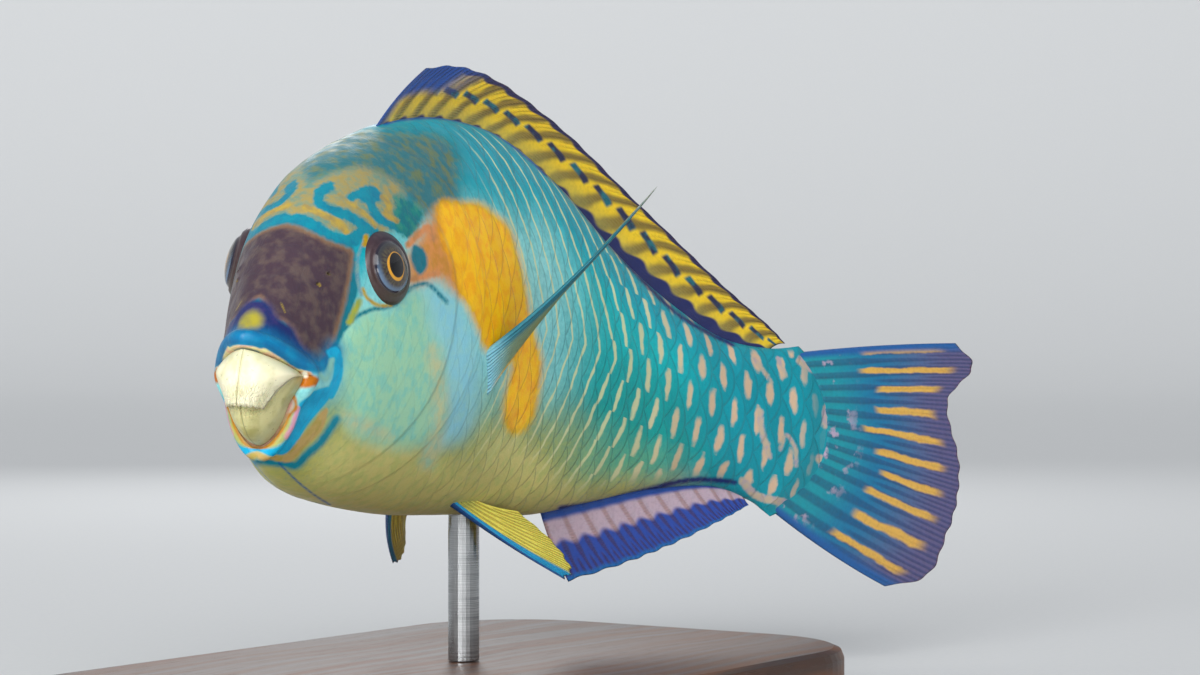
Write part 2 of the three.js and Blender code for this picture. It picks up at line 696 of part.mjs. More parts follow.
function rodSolid(trunk) {
  const tall = PIVOT.z;
  const foot = STAND.thick + GAP;
  const rod = new THREE.CylinderGeometry(STAND.rodRadius, STAND.rodRadius, tall, 24);
  rod.rotateX(Math.PI / 2).translate(STAND.rodX, 0, foot + tall / 2);
  const above = toManifold(rod).subtract(toManifold(trunk.clone().translate(0, 0, -GAP)));
  const pieces = above.decompose().sort((a, b) => a.boundingBox().min[2] - b.boundingBox().min[2]);
  return toGeometry(pieces[0]);
}

const FINISH = {
  teal: { color: 0x1f9aa0, roughness: 0.4, metalness: 0 },
  purple: { color: 0x2a6f8e, roughness: 0.42, metalness: 0 },
  ivory: { color: 0xdcd9b8, roughness: 0.35, metalness: 0 },
  eye: { color: 0x2b1c22, roughness: 0.12, metalness: 0 },
  gold: { color: 0xb9922a, roughness: 0.45, metalness: 0 },
  navy: { color: 0x23408c, roughness: 0.45, metalness: 0 },
  yellow: { color: 0xd9c93a, roughness: 0.45, metalness: 0 },
  walnut: { color: 0x2a1d16, roughness: 0.4, metalness: 0 },
  steel: { color: 0x9a9b9d, roughness: 0.3, metalness: 1 },
};

const fish = new THREE.Group();

function add(name, geometry, finish) {
  const mesh = new THREE.Mesh(geometry, new THREE.MeshStandardMaterial(finish));
  mesh.name = name;
  fish.add(mesh);
}

const head = headSolid();
const trunk = trunkSolid();
const stem = stemSolid();
const UP = new THREE.Vector3(0, 0, 1);
const DOWN = new THREE.Vector3(0, 0, -1);
const BACK = place(STEM_END + 1, 0, 0).sub(place(STEM_END, 0, 0));
const LEFT = new THREE.Vector3(0, -1, 0);
const RIGHT = new THREE.Vector3(0, 1, 0);

add("head", head, FINISH.purple);
add("trunk", trunk, FINISH.teal);
add("tail_stem", stem, FINISH.teal);
add("upper_beak", upperBeakSolid(), FINISH.ivory);
add("lower_beak", lowerBeakSolid(), FINISH.ivory);
add("left_eye", eyeGeometry(1), FINISH.eye);
add("right_eye", eyeGeometry(-1), FINISH.eye);
const dorsalFin = finSolid(DORSAL, ridgeRoot(DORSAL, "top"));
add("dorsal_fin", seated(dorsalFin, [head, trunk], [UP, LEFT, RIGHT]), FINISH.gold);
add("anal_fin", seated(finSolid(ANAL, ridgeRoot(ANAL, "bottom")), [trunk], [DOWN, LEFT, RIGHT]), FINISH.navy);
const tailFin = finSolid(CAUDAL, keyedRoot(CAUDAL));
add("tail_fin", seated(tailFin, [stem, trunk], [BACK, UP, DOWN, LEFT, RIGHT]), FINISH.navy);
for (const [name, fin, side] of [
  ["left_pectoral_fin", LEFT_PECTORAL, LEFT],
  ["right_pectoral_fin", RIGHT_PECTORAL, RIGHT],
]) {
  add(name, seated(finSolid(fin, keyedRoot(fin)), [head, trunk], [side, BACK]), FINISH.teal);
}
for (const [name, fin, side] of [
  ["left_pelvic_fin", LEFT_PELVIC, LEFT],
  ["right_pelvic_fin", RIGHT_PELVIC, RIGHT],
]) {
  add(name, seated(finSolid(fin, keyedRoot(fin)), [head, trunk], [DOWN, side]), FINISH.yellow);
}
add("stand_base", baseSolid(), FINISH.walnut);
add("stand_rod", rodSolid(trunk), FINISH.steel);

export default fish;
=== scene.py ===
"""A life-size parrotfish in mid-turn, held by one rod above a wooden base."""

import logging
import math
from dataclasses import dataclass
from enum import Enum

import bpy
import numpy as np
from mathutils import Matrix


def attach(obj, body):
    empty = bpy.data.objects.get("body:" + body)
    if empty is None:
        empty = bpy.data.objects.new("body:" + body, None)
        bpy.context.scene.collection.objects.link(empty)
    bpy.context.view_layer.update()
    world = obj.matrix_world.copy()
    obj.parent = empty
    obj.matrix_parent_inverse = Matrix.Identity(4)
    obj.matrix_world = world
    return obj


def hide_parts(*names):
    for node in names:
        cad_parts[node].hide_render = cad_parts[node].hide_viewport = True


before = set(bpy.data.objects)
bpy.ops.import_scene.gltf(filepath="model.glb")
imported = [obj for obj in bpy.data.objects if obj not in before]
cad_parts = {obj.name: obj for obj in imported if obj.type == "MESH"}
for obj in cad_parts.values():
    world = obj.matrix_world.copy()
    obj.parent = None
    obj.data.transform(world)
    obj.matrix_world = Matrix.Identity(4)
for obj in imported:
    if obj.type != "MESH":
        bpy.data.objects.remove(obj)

log = logging.getLogger("parrotfish")
Array = np.ndarray
MM = 0.001

# The photo's frame, and the fitted camera that took it
PHOTO_WIDTH = 1200.0
PHOTO_HEIGHT = 675.0
FOCAL_PX = 2830.69
SENSOR_MM = 36.0
CAMERA_TURN = math.radians(55.9705)
CAMERA_RIGHT = 37.251
CAMERA_UP = 4.4755
CAMERA_AWAY = 624.3446

# The pose: the spine's turn in plan, and the pitch and roll about the pivot
BEND = math.radians(20.3)
BEND_FROM = 24.2
BEND_TO = 215.6
PITCH = math.radians(8.31)
ROLL = math.radians(0.51)
PIVOT_S = 100.0
PIVOT = np.array([-8.0, 0.0, 80.0])
SPINE_STEP = 0.5
SPINE_END = 320.0

# Body sections from the lips to the root of the tail fin. Each has its side point (s, h, w), its top (s, h),
# its bottom (s, h), and how round it is above and below
SECTIONS = np.array(
    [
        (14.8, -14.6, 8.6, 3, -10.8, 16, -28.9, 1.5, 1.75),
        (16.2, -14.3, 9.6, 2.6, -9, 16.2, -30.4, 1.65, 1.8),
        (18.5, -12.5, 10.4, 4.4, -6.6, 18.8, -31.6, 1.8, 1.75),
        (22.5, -9.5, 11.7, 8.6, -1.2, 22.5, -32.8, 2, 1.75),
        (28, -5.5, 13.6, 14, 6.2, 28, -34, 2.2, 1.82),
        (36, -1, 15.8, 23, 18.2, 36, -35.3, 2.25, 2.05),
        (46, 2.5, 17.9, 37, 30.4, 46, -36.1, 2.1, 2.15),
        (58, 5, 19.7, 52.5, 38.9, 58, -36.4, 2, 2.2),
        (72, 7, 21, 69.5, 46.3, 72, -36.4, 1.9, 2.2),
        (86, 8.5, 21.3, 85, 50.9, 86, -36, 1.85, 2.2),
        (102, 9.5, 20.8, 101, 53.6, 102, -34.6, 1.8, 2.15),
        (118, 10, 19.3, 117, 53.7, 118, -33, 1.8, 2.1),
        (140, 9.2, 16.5, 139.5, 46.8, 141, -30.9, 1.8, 2),
        (160, 6.8, 13.3, 160, 35.2, 160, -26.2, 1.85, 1.9),
        (180, 3.8, 10.1, 180, 25.3, 180, -21, 1.9, 1.9),
        (200, 1.2, 7.1, 200, 18.3, 200, -18.4, 2, 2),
        (215, -0.6, 5.1, 214, 17.9, 212, -20.6, 2.1, 2.1),
        (227, -1.2, 3.5, 220, 18.8, 215.8, -22.4, 2.2, 2.2),
        (237, -1.4, 2, 224, 19.7, 218.5, -23.8, 2.4, 2.4),
    ]
)
SIDE_S, SIDE_H, SIDE_W, TOP_S, TOP_H, BOTTOM_S, BOTTOM_H, ROUND_TOP, ROUND_BOTTOM = SECTIONS.T
RIM = float(SIDE_S[0])
STEM_END = float(SIDE_S[-1])

# The gill cover's rear edge, by its top, side and bottom sections
GILL_TOP = 59.0
GILL_SIDE = 80.0
GILL_BOTTOM = 47.0

# How deep the dorsal and anal fins are sunk into the body
FIN_SUNK = 1.5

# The middle of the mouth, which the lips and the beak close in on
MOUTH_S = 12.0
MOUTH_H = -19.5

# Guards against rounding and against lengths of 0, and how near points merge, in metres
TINY = 1e-6
NO_LENGTH = 1e-9
SHORTEST = 1e-12
MERGE_M = 2e-6

# Steps of the search for a point of the skin, by section and by angle
SEARCH_STEP = 0.5
SEARCH_TURN = 0.02
SEARCH_START = 0.05
LOOK_TURN = 0.05
LOOK_STEP = 1.0


class Side(Enum):
    """The two sides of the fish, by the sign of w."""

    LEFT = 1
    RIGHT = -1


# Numbers


def smoothstep(value: Array, low: Array, high: Array) -> Array:
    """Rise smoothly from 0 to 1.

    Args:
        value: Where to read the step.
        low: Where it starts to rise.
        high: Where it reaches 1.

    Returns:
        The height of the step.
    """
    t = np.clip((value - low) / (np.asarray(high) - low), 0.0, 1.0)
    return t * t * (3 - 2 * t)


def bump(value: Array, middle: float, reach: float) -> Array:
    """Return a smooth hill of height 1 at the middle that ends at the reach."""
    return smoothstep(1 - np.abs(value - middle) / reach, 0.0, 1.0)


def through(xs: Array, ys: Array, x: Array) -> Array:
    """Follow the smooth curve through points, with slopes from their neighbours.

    Args:
        xs: Rising positions of the points.
        ys: Their values.
        x: Where to read the curve.

    Returns:
        The curve's values.
    """
    xs = np.asarray(xs, float)
    ys = np.asarray(ys, float)
    width = np.diff(xs)
    rise = np.diff(ys) / width
    slope = np.empty(len(xs))
    slope[0] = rise[0]
    slope[-1] = rise[-1]
    slope[1:-1] = (width[:-1] * rise[1:] + width[1:] * rise[:-1]) / (width[:-1] + width[1:])
    x = np.clip(x, xs[0], xs[-1])
    i = np.clip(np.searchsorted(xs, x, side="left") - 1, 0, len(xs) - 2)
    t = (x - xs[i]) / width[i]
    t2 = t * t
    t3 = t2 * t
    start = (2 * t3 - 3 * t2 + 1) * ys[i] + (t3 - 2 * t2 + t) * width[i] * slope[i]
    return start + (3 * t2 - 2 * t3) * ys[i + 1] + (t3 - t2) * width[i] * slope[i + 1]


def unit(vectors: Array) -> Array:
    """Return the vectors at length 1."""
    return vectors / np.maximum(np.linalg.norm(vectors, axis=-1, keepdims=True), SHORTEST)


# The pose and the body


class Swim:
    """Fish space and its place in the room.

    In fish space s runs along the spine from the snout, h is up and w is to the fish's left, all in mm.
    """

    def __init__(self) -> None:
        """Sum the spine in plan in short steps."""
        self.steps = np.arange(0.0, SPINE_END + SPINE_STEP, SPINE_STEP)
        turn = self.turn(self.steps[:-1] + SPINE_STEP / 2)
        self.xs = np.concatenate([[0.0], np.cumsum(SPINE_STEP * np.cos(turn))])
        self.ys = np.concatenate([[0.0], np.cumsum(SPINE_STEP * np.sin(turn))])

    @staticmethod
    def turn(s: Array) -> Array:
        """Return how far the body has turned from the X axis at s."""
        return BEND * (1 - 2 * smoothstep(s, BEND_FROM, BEND_TO))

    def place(self, points: Array) -> Array:
        """Move points of fish space into the room.

        Args:
            points: An array whose last axis is (s, h, w).

        Returns:
            The same points as (x, y, z) in mm.
        """
        s, h, w = np.moveaxis(np.asarray(points, float), -1, 0)
        turn = self.turn(s)
        pivot_x, pivot_y = (np.interp(PIVOT_S, self.steps, line) for line in (self.xs, self.ys))
        along = np.interp(s, self.steps, self.xs) - pivot_x + w * np.sin(turn)
        left = pivot_y - np.interp(s, self.steps, self.ys) + w * np.cos(turn)
        pitched = along * math.cos(PITCH) + h * math.sin(PITCH)
        raised = -along * math.sin(PITCH) + h * math.cos(PITCH)
        across = left * math.cos(ROLL) - raised * math.sin(ROLL)
        upward = left * math.sin(ROLL) + raised * math.cos(ROLL)
        return np.stack([pitched, -across, upward], -1) + PIVOT


@dataclass(frozen=True)
class PhotoCamera:
    """The camera that took the photo, level and turned about the vertical."""

    turn: float = CAMERA_TURN
    nearest: float = 0.01

    @property
    def right(self) -> Array:
        """Return the direction to the right in the photo."""
        return np.array([math.cos(self.turn), -math.sin(self.turn), 0.0])

    @property
    def ahead(self) -> Array:
        """Return the direction that the camera looks in."""
        return np.array([math.sin(self.turn), math.cos(self.turn), 0.0])

    @property
    def position(self) -> Array:
        """Return the camera's place in mm."""
        up = np.array([0.0, 0.0, CAMERA_UP])
        return PIVOT + CAMERA_RIGHT * self.right + up - CAMERA_AWAY * self.ahead

    def pixels(self, points: Array) -> Array:
        """Find where points lie in the photo.

        Args:
            points: Points of the room, in mm.

        Returns:
            How far across and down the photo each lies, in pixels.
        """
        offset = points - self.position
        depth = offset @ self.ahead
        across = PHOTO_WIDTH / 2 + FOCAL_PX * (offset @ self.right) / depth
        down = PHOTO_HEIGHT / 2 - FOCAL_PX * offset[..., 2] / depth
        return np.stack([across, down], -1)

    def build(self) -> None:
        """Put the camera in the scene."""
        deselect_all()
        spot = tuple(self.position * MM)
        bpy.ops.object.camera_add(location=spot, rotation=(math.pi / 2, 0.0, -self.turn))
        camera = bpy.context.active_object
        camera.name = "photo_camera"
        camera.data.sensor_width = SENSOR_MM
        camera.data.lens = FOCAL_PX * SENSOR_MM / PHOTO_WIDTH
        camera.data.clip_start = self.nearest
        bpy.context.scene.camera = camera


SWIM = Swim()
PHOTO = PhotoCamera()

# The lower jaw is drawn in below JAW_TOP, fully from JAW_LOW, and fades out behind from JAW_FRONT to JAW_BACK
JAW_TOP = 15.0
JAW_LOW = 21.0
JAW_FRONT = 13.0
JAW_BACK = 30.0
JAW_DRAW = 0.22


def body_point(x: Array, angle: Array) -> Array:
    """Find points of the body's surface.

    Args:
        x: The section, by the s of its side point.
        angle: The way round it, from the back over the left side.

    Returns:
        The points as (s, h, w) in fish space.
    """
    x, angle = np.broadcast_arrays(np.asarray(x, float), np.asarray(angle, float))
    c = np.cos(angle)
    n = np.sin(angle)
    upper = c >= 0
    side_h = through(SIDE_S, SIDE_H, x)
    side_w = through(SIDE_S, SIDE_W, x)
    end_s = np.where(upper, through(SIDE_S, TOP_S, x), through(SIDE_S, BOTTOM_S, x))
    end_h = np.where(upper, through(SIDE_S, TOP_H, x), through(SIDE_S, BOTTOM_H, x))
    rounded = np.where(upper, through(SIDE_S, ROUND_TOP, x), through(SIDE_S, ROUND_BOTTOM, x))
    s = x + (end_s - x) * c * c
    h = side_h + (end_h - side_h) * np.abs(c) ** (2 / rounded)
    w = side_w * np.sign(n) * np.abs(n) ** (2 / rounded)
    return np.stack([s, h, w], -1)


def gill_edge(angle: Array) -> Array:
    """Return the section at which the gill cover ends, at each angle."""
    end = np.where(np.cos(angle) >= 0, GILL_TOP, GILL_BOTTOM)
    return GILL_SIDE + (end - GILL_SIDE) * np.cos(angle) ** 2


def draw_jaw(points: Array) -> Array:
    """Return points of the muzzle with the lower jaw drawn in."""
    share = smoothstep(-points[..., 1], JAW_TOP, JAW_LOW) * smoothstep(points[..., 0], JAW_BACK, JAW_FRONT)
    return points * np.stack([np.ones_like(share), np.ones_like(share), 1 - JAW_DRAW * share], -1)


def skin_at(s: float, h: float, side: Side) -> tuple[Array, Array]:
    """Find the head's skin at a given s and h.

    Args:
        s: Distance along the spine.
        h: Height.
        side: Which side of the head.

    Returns:
        The point in the room, in mm, and the outward direction there.
    """
    sections = np.arange(RIM, GILL_SIDE, SEARCH_STEP)
    angles = np.arange(SEARCH_START, math.pi, SEARCH_TURN)
    x, angle = np.meshgrid(sections, angles, indexing="ij")
    points = body_point(x, angle)
    best = np.argmin(np.hypot(points[..., 0] - s, points[..., 1] - h))
    bx, ba = x.flat[best], angle.flat[best]

    def near(dx: float, da: float) -> Array:
        """Return the skin a little way off."""
        return SWIM.place(body_point(bx + dx, ba + da) * np.array([1, 1, side.value]))

    round_it = near(0, LOOK_TURN) - near(0, -LOOK_TURN)
    normal = unit(np.cross(round_it, near(LOOK_STEP, 0) - near(-LOOK_STEP, 0))) * side.value
    return near(0, 0), normal


# Meshes


def deselect_all() -> None:
    """Leave nothing selected or active."""
    for obj in bpy.context.selected_objects:
        obj.select_set(False)
    bpy.context.view_layer.objects.active = None


def new_sheet(name: str, columns: int, rows: int) -> tuple[bpy.types.Object, Array, Array]:
    """Add a grid to be shaped into a piece.

    Args:
        name: The piece's name.
        columns: Faces across.
        rows: Faces down.

    Returns:
        The object, and each vertex's column and row number.
    """
    deselect_all()
    bpy.ops.mesh.primitive_grid_add(x_subdivisions=columns, y_subdivisions=rows, size=2.0, calc_uvs=True)
    piece = bpy.context.active_object
    piece.name = name
    piece.data.name = name
    flat = np.empty(len(piece.data.vertices) * 3)
    piece.data.vertices.foreach_get("co", flat)
    flat = flat.reshape(-1, 3)
    column = np.rint((flat[:, 0] + 1) / 2 * columns).astype(int)
    row = np.rint((flat[:, 1] + 1) / 2 * rows).astype(int)
    return piece, column, row


def set_points(piece: bpy.types.Object, points: Array) -> None:
    """Give a piece's vertices their places, in mm."""
    piece.data.vertices.foreach_set("co", (points * MM).astype(np.float32).ravel())
    piece.data.update()


def set_field(piece: bpy.types.Object, name: str, values: Array) -> None:
    """Keep a number or a vector at each vertex, for the finishes to read.

    Args:
        piece: The object.
        name: The field's name.
        values: One number or vector for each vertex.
    """
    kind = "FLOAT" if values.ndim == 1 else "FLOAT_VECTOR"
    layer = piece.data.attributes.new(name, kind, "POINT")
    layer.data.foreach_set("value" if values.ndim == 1 else "vector", values.astype(np.float32).ravel())


def close_piece(piece: bpy.types.Object, angle: float = math.pi) -> None:
    """Merge seams and poles, turn the faces outwards and shade smooth.

    Args:
        piece: The object to finish.
        angle: Edges sharper than this stay sharp.
    """
    deselect_all()
    piece.select_set(True)
    bpy.context.view_layer.objects.active = piece
    bpy.ops.object.mode_set(mode="EDIT")
    bpy.ops.mesh.select_all(action="SELECT")
    bpy.ops.mesh.remove_doubles(threshold=MERGE_M)
    bpy.ops.mesh.normals_make_consistent(inside=False)
    bpy.ops.object.mode_set(mode="OBJECT")
    if angle < math.pi:
        bpy.ops.object.shade_smooth_by_angle(angle=angle)
    else:
        bpy.ops.object.shade_smooth()


def finish_piece(piece: bpy.types.Object, slot: str, *nodes: str) -> None:
    """Tie a piece to the model.

    Args:
        piece: The object.
        slot: The record's material slot; not used.
        nodes: The CAD nodes it stands for.
    """
    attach(piece, "root")
    if nodes:
        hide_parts(*nodes)
    log.info("%s: %d faces", piece.name, len(piece.data.polygons))


def polyline_distance(points: Array, line: Array) -> Array:
    """Measure how far points lie from a run of straight stretches.

    Args:
        points: The points.
        line: The ends of the stretches, in order.

    Returns:
        Each point's distance.
    """
    best = np.full(points.shape[:-1], np.inf)
    for start, end in zip(line[:-1], line[1:]):
        way = end - start
        share = np.clip(((points - start) @ way) / max(way @ way, NO_LENGTH), 0, 1)
        best = np.minimum(best, np.linalg.norm(points - start - share[..., None] * way, axis=-1))
    return best


def inside_outline(points: Array, line: Array) -> Array:
    """Find the points that a closed outline holds.

    Args:
        points: The points.
        line: The outline's corners, in order.

    Returns:
        Whether the outline holds each point.
    """
    held = np.zeros(points.shape[:-1], bool)
    px, py = points[..., 0], points[..., 1]
    for (ax, ay), (bx, by) in zip(line, np.roll(line, -1, axis=0)):
        crosses = (ay > py) != (by > py)
        fall = by - ay if by != ay else NO_LENGTH
        held ^= crosses & (px < (bx - ax) * (py - ay) / fall + ax)
    return held


def curved(points: Array, closed: bool, steps: int = 6) -> Array:
    """Round off a run of points.

    Args:
        points: The points it passes.
        closed: Whether it comes back to its start.
        steps: Short stretches for each point.

    Returns:
        The points of the rounded line.
    """
    pts = np.asarray(points, float)
    if closed:
        padded = np.concatenate([pts[-1:], pts, pts[:2]])
    else:
        padded = np.concatenate([pts[:1], pts, pts[-1:]])
    line = []
    for a, b, c, d in zip(padded[:-3], padded[1:-2], padded[2:-1], padded[3:]):
        for k in range(steps):
            t = k / steps
            squared = (2 * a - 5 * b + 4 * c - d) * t**2
            cubed = (3 * b - a - 3 * c + d) * t**3
            line.append(0.5 * (2 * b + (c - a) * t + squared + cubed))
    if not closed:
        line.append(pts[-1])
    return np.array(line)


# Finishes: node trees, and the effects that they share

Socket = bpy.types.NodeSocket
Node = bpy.types.Node


def tint(code: str) -> tuple[float, float, float, float]:
    """Turn a colour written as six hex digits into linear light.

    Args:
        code: Red, green and blue, with two digits each.

    Returns:
        The colour's parts, and 1 for its cover.
    """
    parts = [int(code[k : k + 2], 16) / 255 for k in (0, 2, 4)]
    linear = [c / 12.92 if c <= 0.04045 else ((c + 0.055) / 1.055) ** 2.4 for c in parts]
    return (*linear, 1.0)


class Paint:
    """A node tree being put together, for a material or a shared group."""

    def __init__(self, tree: bpy.types.NodeTree) -> None:
        """Work on this tree."""
        self.tree = tree

    def node(self, kind: str, **settings: object) -> Node:
        """Add a node.

        Args:
            kind: The end of the node's type name.
            settings: Its options.

        Returns:
            The node.
        """
        made = self.tree.nodes.new("ShaderNode" + kind)
        for name, value in settings.items():
            setattr(made, name, value)
        return made

    def feed(self, socket: Socket, value: object) -> None:
        """Link an output to the socket, or write a plain value on it.

        Args:
            socket: The socket to feed.
            value: An output or a plain value.
        """
        if isinstance(value, bpy.types.NodeSocket):
            self.tree.links.new(value, socket)
        else:
            socket.default_value = value

    def math(self, operation: str, *values: object) -> Socket:
        """Add a Math node.

        Args:
            operation: Its operation.
            values: What it works on.

        Returns:
            Its result.
        """
        made = self.node("Math", operation=operation)
        for socket, value in zip(made.inputs, values):
            self.feed(socket, value)
        return made.outputs[0]

    def add(self, first: object, second: object) -> Socket:
        """Return the sum."""
        return self.math("ADD", first, second)

    def less(self, first: object, second: object) -> Socket:
        """Return the first value less the second."""
        return self.math("SUBTRACT", first, second)

    def times(self, first: object, second: object) -> Socket:
        """Return the product."""
        return self.math("MULTIPLY", first, second)

    def size(self, value: object) -> Socket:
        """Return the value without its sign."""
        return self.math("ABSOLUTE", value)

    def apart(self, first: object, second: object) -> Socket:
        """Return how far apart two values are."""
        return self.size(self.less(first, second))

    def rest(self, share: object) -> Socket:
        """Return what a share leaves of 1."""
        return self.less(1.0, share)

    def fraction(self, value: object) -> Socket:
        """Return the value without its whole part."""
        return self.math("FRACT", value)

    def length(self, across: object, up: object) -> Socket:
        """Return the length of a way across and up."""
        squares = [self.math("POWER", self.size(way), 2.0) for way in (across, up)]
        return self.math("SQRT", self.add(*squares))

    def mix(self, share: object, first: object, second: object) -> Socket:
        """Mix two colours.

        Args:
            share: How much of the second colour shows.
            first: A colour, as an output or in hex.
            second: The other colour.

        Returns:
            The mixed colour.
        """
        made = self.node("Mix", data_type="RGBA")
        for name, value in (("Factor_Float", share), ("A_Color", first), ("B_Color", second)):
            socket = next(s for s in made.inputs if s.identifier == name)
            self.feed(socket, tint(value) if isinstance(value, str) else value)
        return next(s for s in made.outputs if s.identifier == "Result_Color")

    def span(self, value: object, low: object, high: object, start: float = 0.0, end: float = 1.0) -> Socket:
        """Map one stretch of a value smoothly onto another.

        Args:
            value: The value to read.
            low: Where the stretch begins, which may lie above its end.
            high: Where it ends.
            start: The result before the stretch.
            end: The result past it.

        Returns:
            The mapped value.
        """
        made = self.node("MapRange", interpolation_type="SMOOTHSTEP")
        names = ("Value", "From Min", "From Max", "To Min", "To Max")
        for name, given in zip(names, (value, low, high, start, end)):
            self.feed(made.inputs[name], given)
        return made.outputs["Result"]

    def field(self, name: str) -> Node:
        """Read a field kept on the mesh."""
        return self.node("Attribute", attribute_name=name)

    def split(self, vector: Socket) -> tuple[Socket, Socket, Socket]:
        """Take a vector apart.

        Args:
            vector: The vector.

        Returns:
            Its three parts.
        """
        made = self.node("SeparateXYZ")
        self.feed(made.inputs[0], vector)
        return made.outputs[0], made.outputs[1], made.outputs[2]

    def join(self, x: object, y: object, z: object) -> Socket:
        """Put a vector together.

        Args:
            x: Its first part.
            y: Its second part.
            z: Its third part.

        Returns:
            The vector.
        """
        made = self.node("CombineXYZ")
        for socket, value in zip(made.inputs, (x, y, z)):
            self.feed(socket, value)
        return made.outputs[0]

    def place(self) -> Socket:
        """Return the Object coordinates."""
        return self.node("TexCoord").outputs["Object"]

    def noise(self, scale: float, detail: float, at: Socket | None = None) -> Socket:
        """Read a noise.

        Args:
            scale: Lumps to the metre, or to the unit of the given vector.
            detail: How many finer layers it has.
            at: Where to read it, if not at the Object coordinates.

        Returns:
            The noise, from 0 to 1.
        """
        made = self.node("TexNoise")
        made.inputs["Scale"].default_value = scale
        made.inputs["Detail"].default_value = detail
        self.feed(made.inputs["Vector"], at if at is not None else self.place())
        return made.outputs["Fac"]

    def wander(self, scale: float, detail: float, amount: float) -> Socket:
        """Return a noise that wanders about 0, by half the amount each way."""
        return self.times(self.less(self.noise(scale, detail), 0.5), amount)

    def stretched(self, scales: tuple[float, float, float], detail: float, ways: tuple) -> Socket:
        """Return a noise with its own number of lumps to the metre on each of three ways."""
        spread = [self.times(way, scale) for way, scale in zip(ways, scales)]
        return self.noise(1.0, detail, self.join(*spread))

    def use(self, group: bpy.types.NodeTree, **values: object) -> Node:
        """Place a shared group.

        Args:
            group: The group.
            values: Its inputs.

        Returns:
            The group's node.
        """
        made = self.tree.nodes.new("ShaderNodeGroup")
        made.node_tree = group
        for name, value in values.items():
            self.feed(made.inputs[name], value)
        return made

    def bump(self, height: Socket, depth_mm: float) -> Socket:
        """Turn a height into a normal.

        Args:
            height: The height, from 0 to 1.
            depth_mm: How much relief a height of 1 stands for.

        Returns:
            The normal.
        """
        made = self.node("Bump")
        made.inputs["Strength"].default_value = 1.0
        made.inputs["Distance"].default_value = depth_mm * MM
        self.feed(made.inputs["Height"], height)
        return made.outputs["Normal"]


class Finish(Paint):
    """A material with one shader, whose plain values stand on the shader's own sockets."""

    def __init__(self, name: str, **plain: float) -> None:
        """Start a material.

        Args:
            name: The material's name.
            plain: The shader's sockets that keep one value.
        """
        self.material = bpy.data.materials.new(name)
        self.material.use_nodes = True
        super().__init__(self.material.node_tree)
        self.tree.nodes.clear()
        self.shader = self.node("BsdfPrincipled")
        output = self.node("OutputMaterial")
        self.tree.links.new(self.shader.outputs["BSDF"], output.inputs["Surface"])
        for socket, value in plain.items():
            self.shader.inputs[socket.replace("_", " ")].default_value = value

    def wear(self, **sockets: object) -> None:
        """Feed the shader's sockets."""
        for socket, value in sockets.items():
            self.feed(self.shader.inputs[socket.replace("_", " ")], value)


def shared_group(name: str, inputs: dict[str, object], outputs: tuple[str, ...]) -> tuple[Paint, dict, Node]:
    """Start a shared node group.

    Args:
        name: The group's name.
        inputs: Each input's name and starting value; a tuple makes a vector socket.
        outputs: The names of its outputs, which are all values.

    Returns:
        The paint to build it with, its inputs by name, and its output node.
    """
    tree = bpy.data.node_groups.new(name, "ShaderNodeTree")
    for label, value in inputs.items():
        kind = "NodeSocketVector" if isinstance(value, tuple) else "NodeSocketFloat"
        tree.interface.new_socket(name=label, in_out="INPUT", socket_type=kind).default_value = value
    for label in outputs:
        tree.interface.new_socket(name=label, in_out="OUTPUT", socket_type="NodeSocketFloat")
    paint = Paint(tree)
    source = tree.nodes.new("NodeGroupInput")
    sink = tree.nodes.new("NodeGroupOutput")
    return paint, {label: source.outputs[label] for label in inputs}, sink


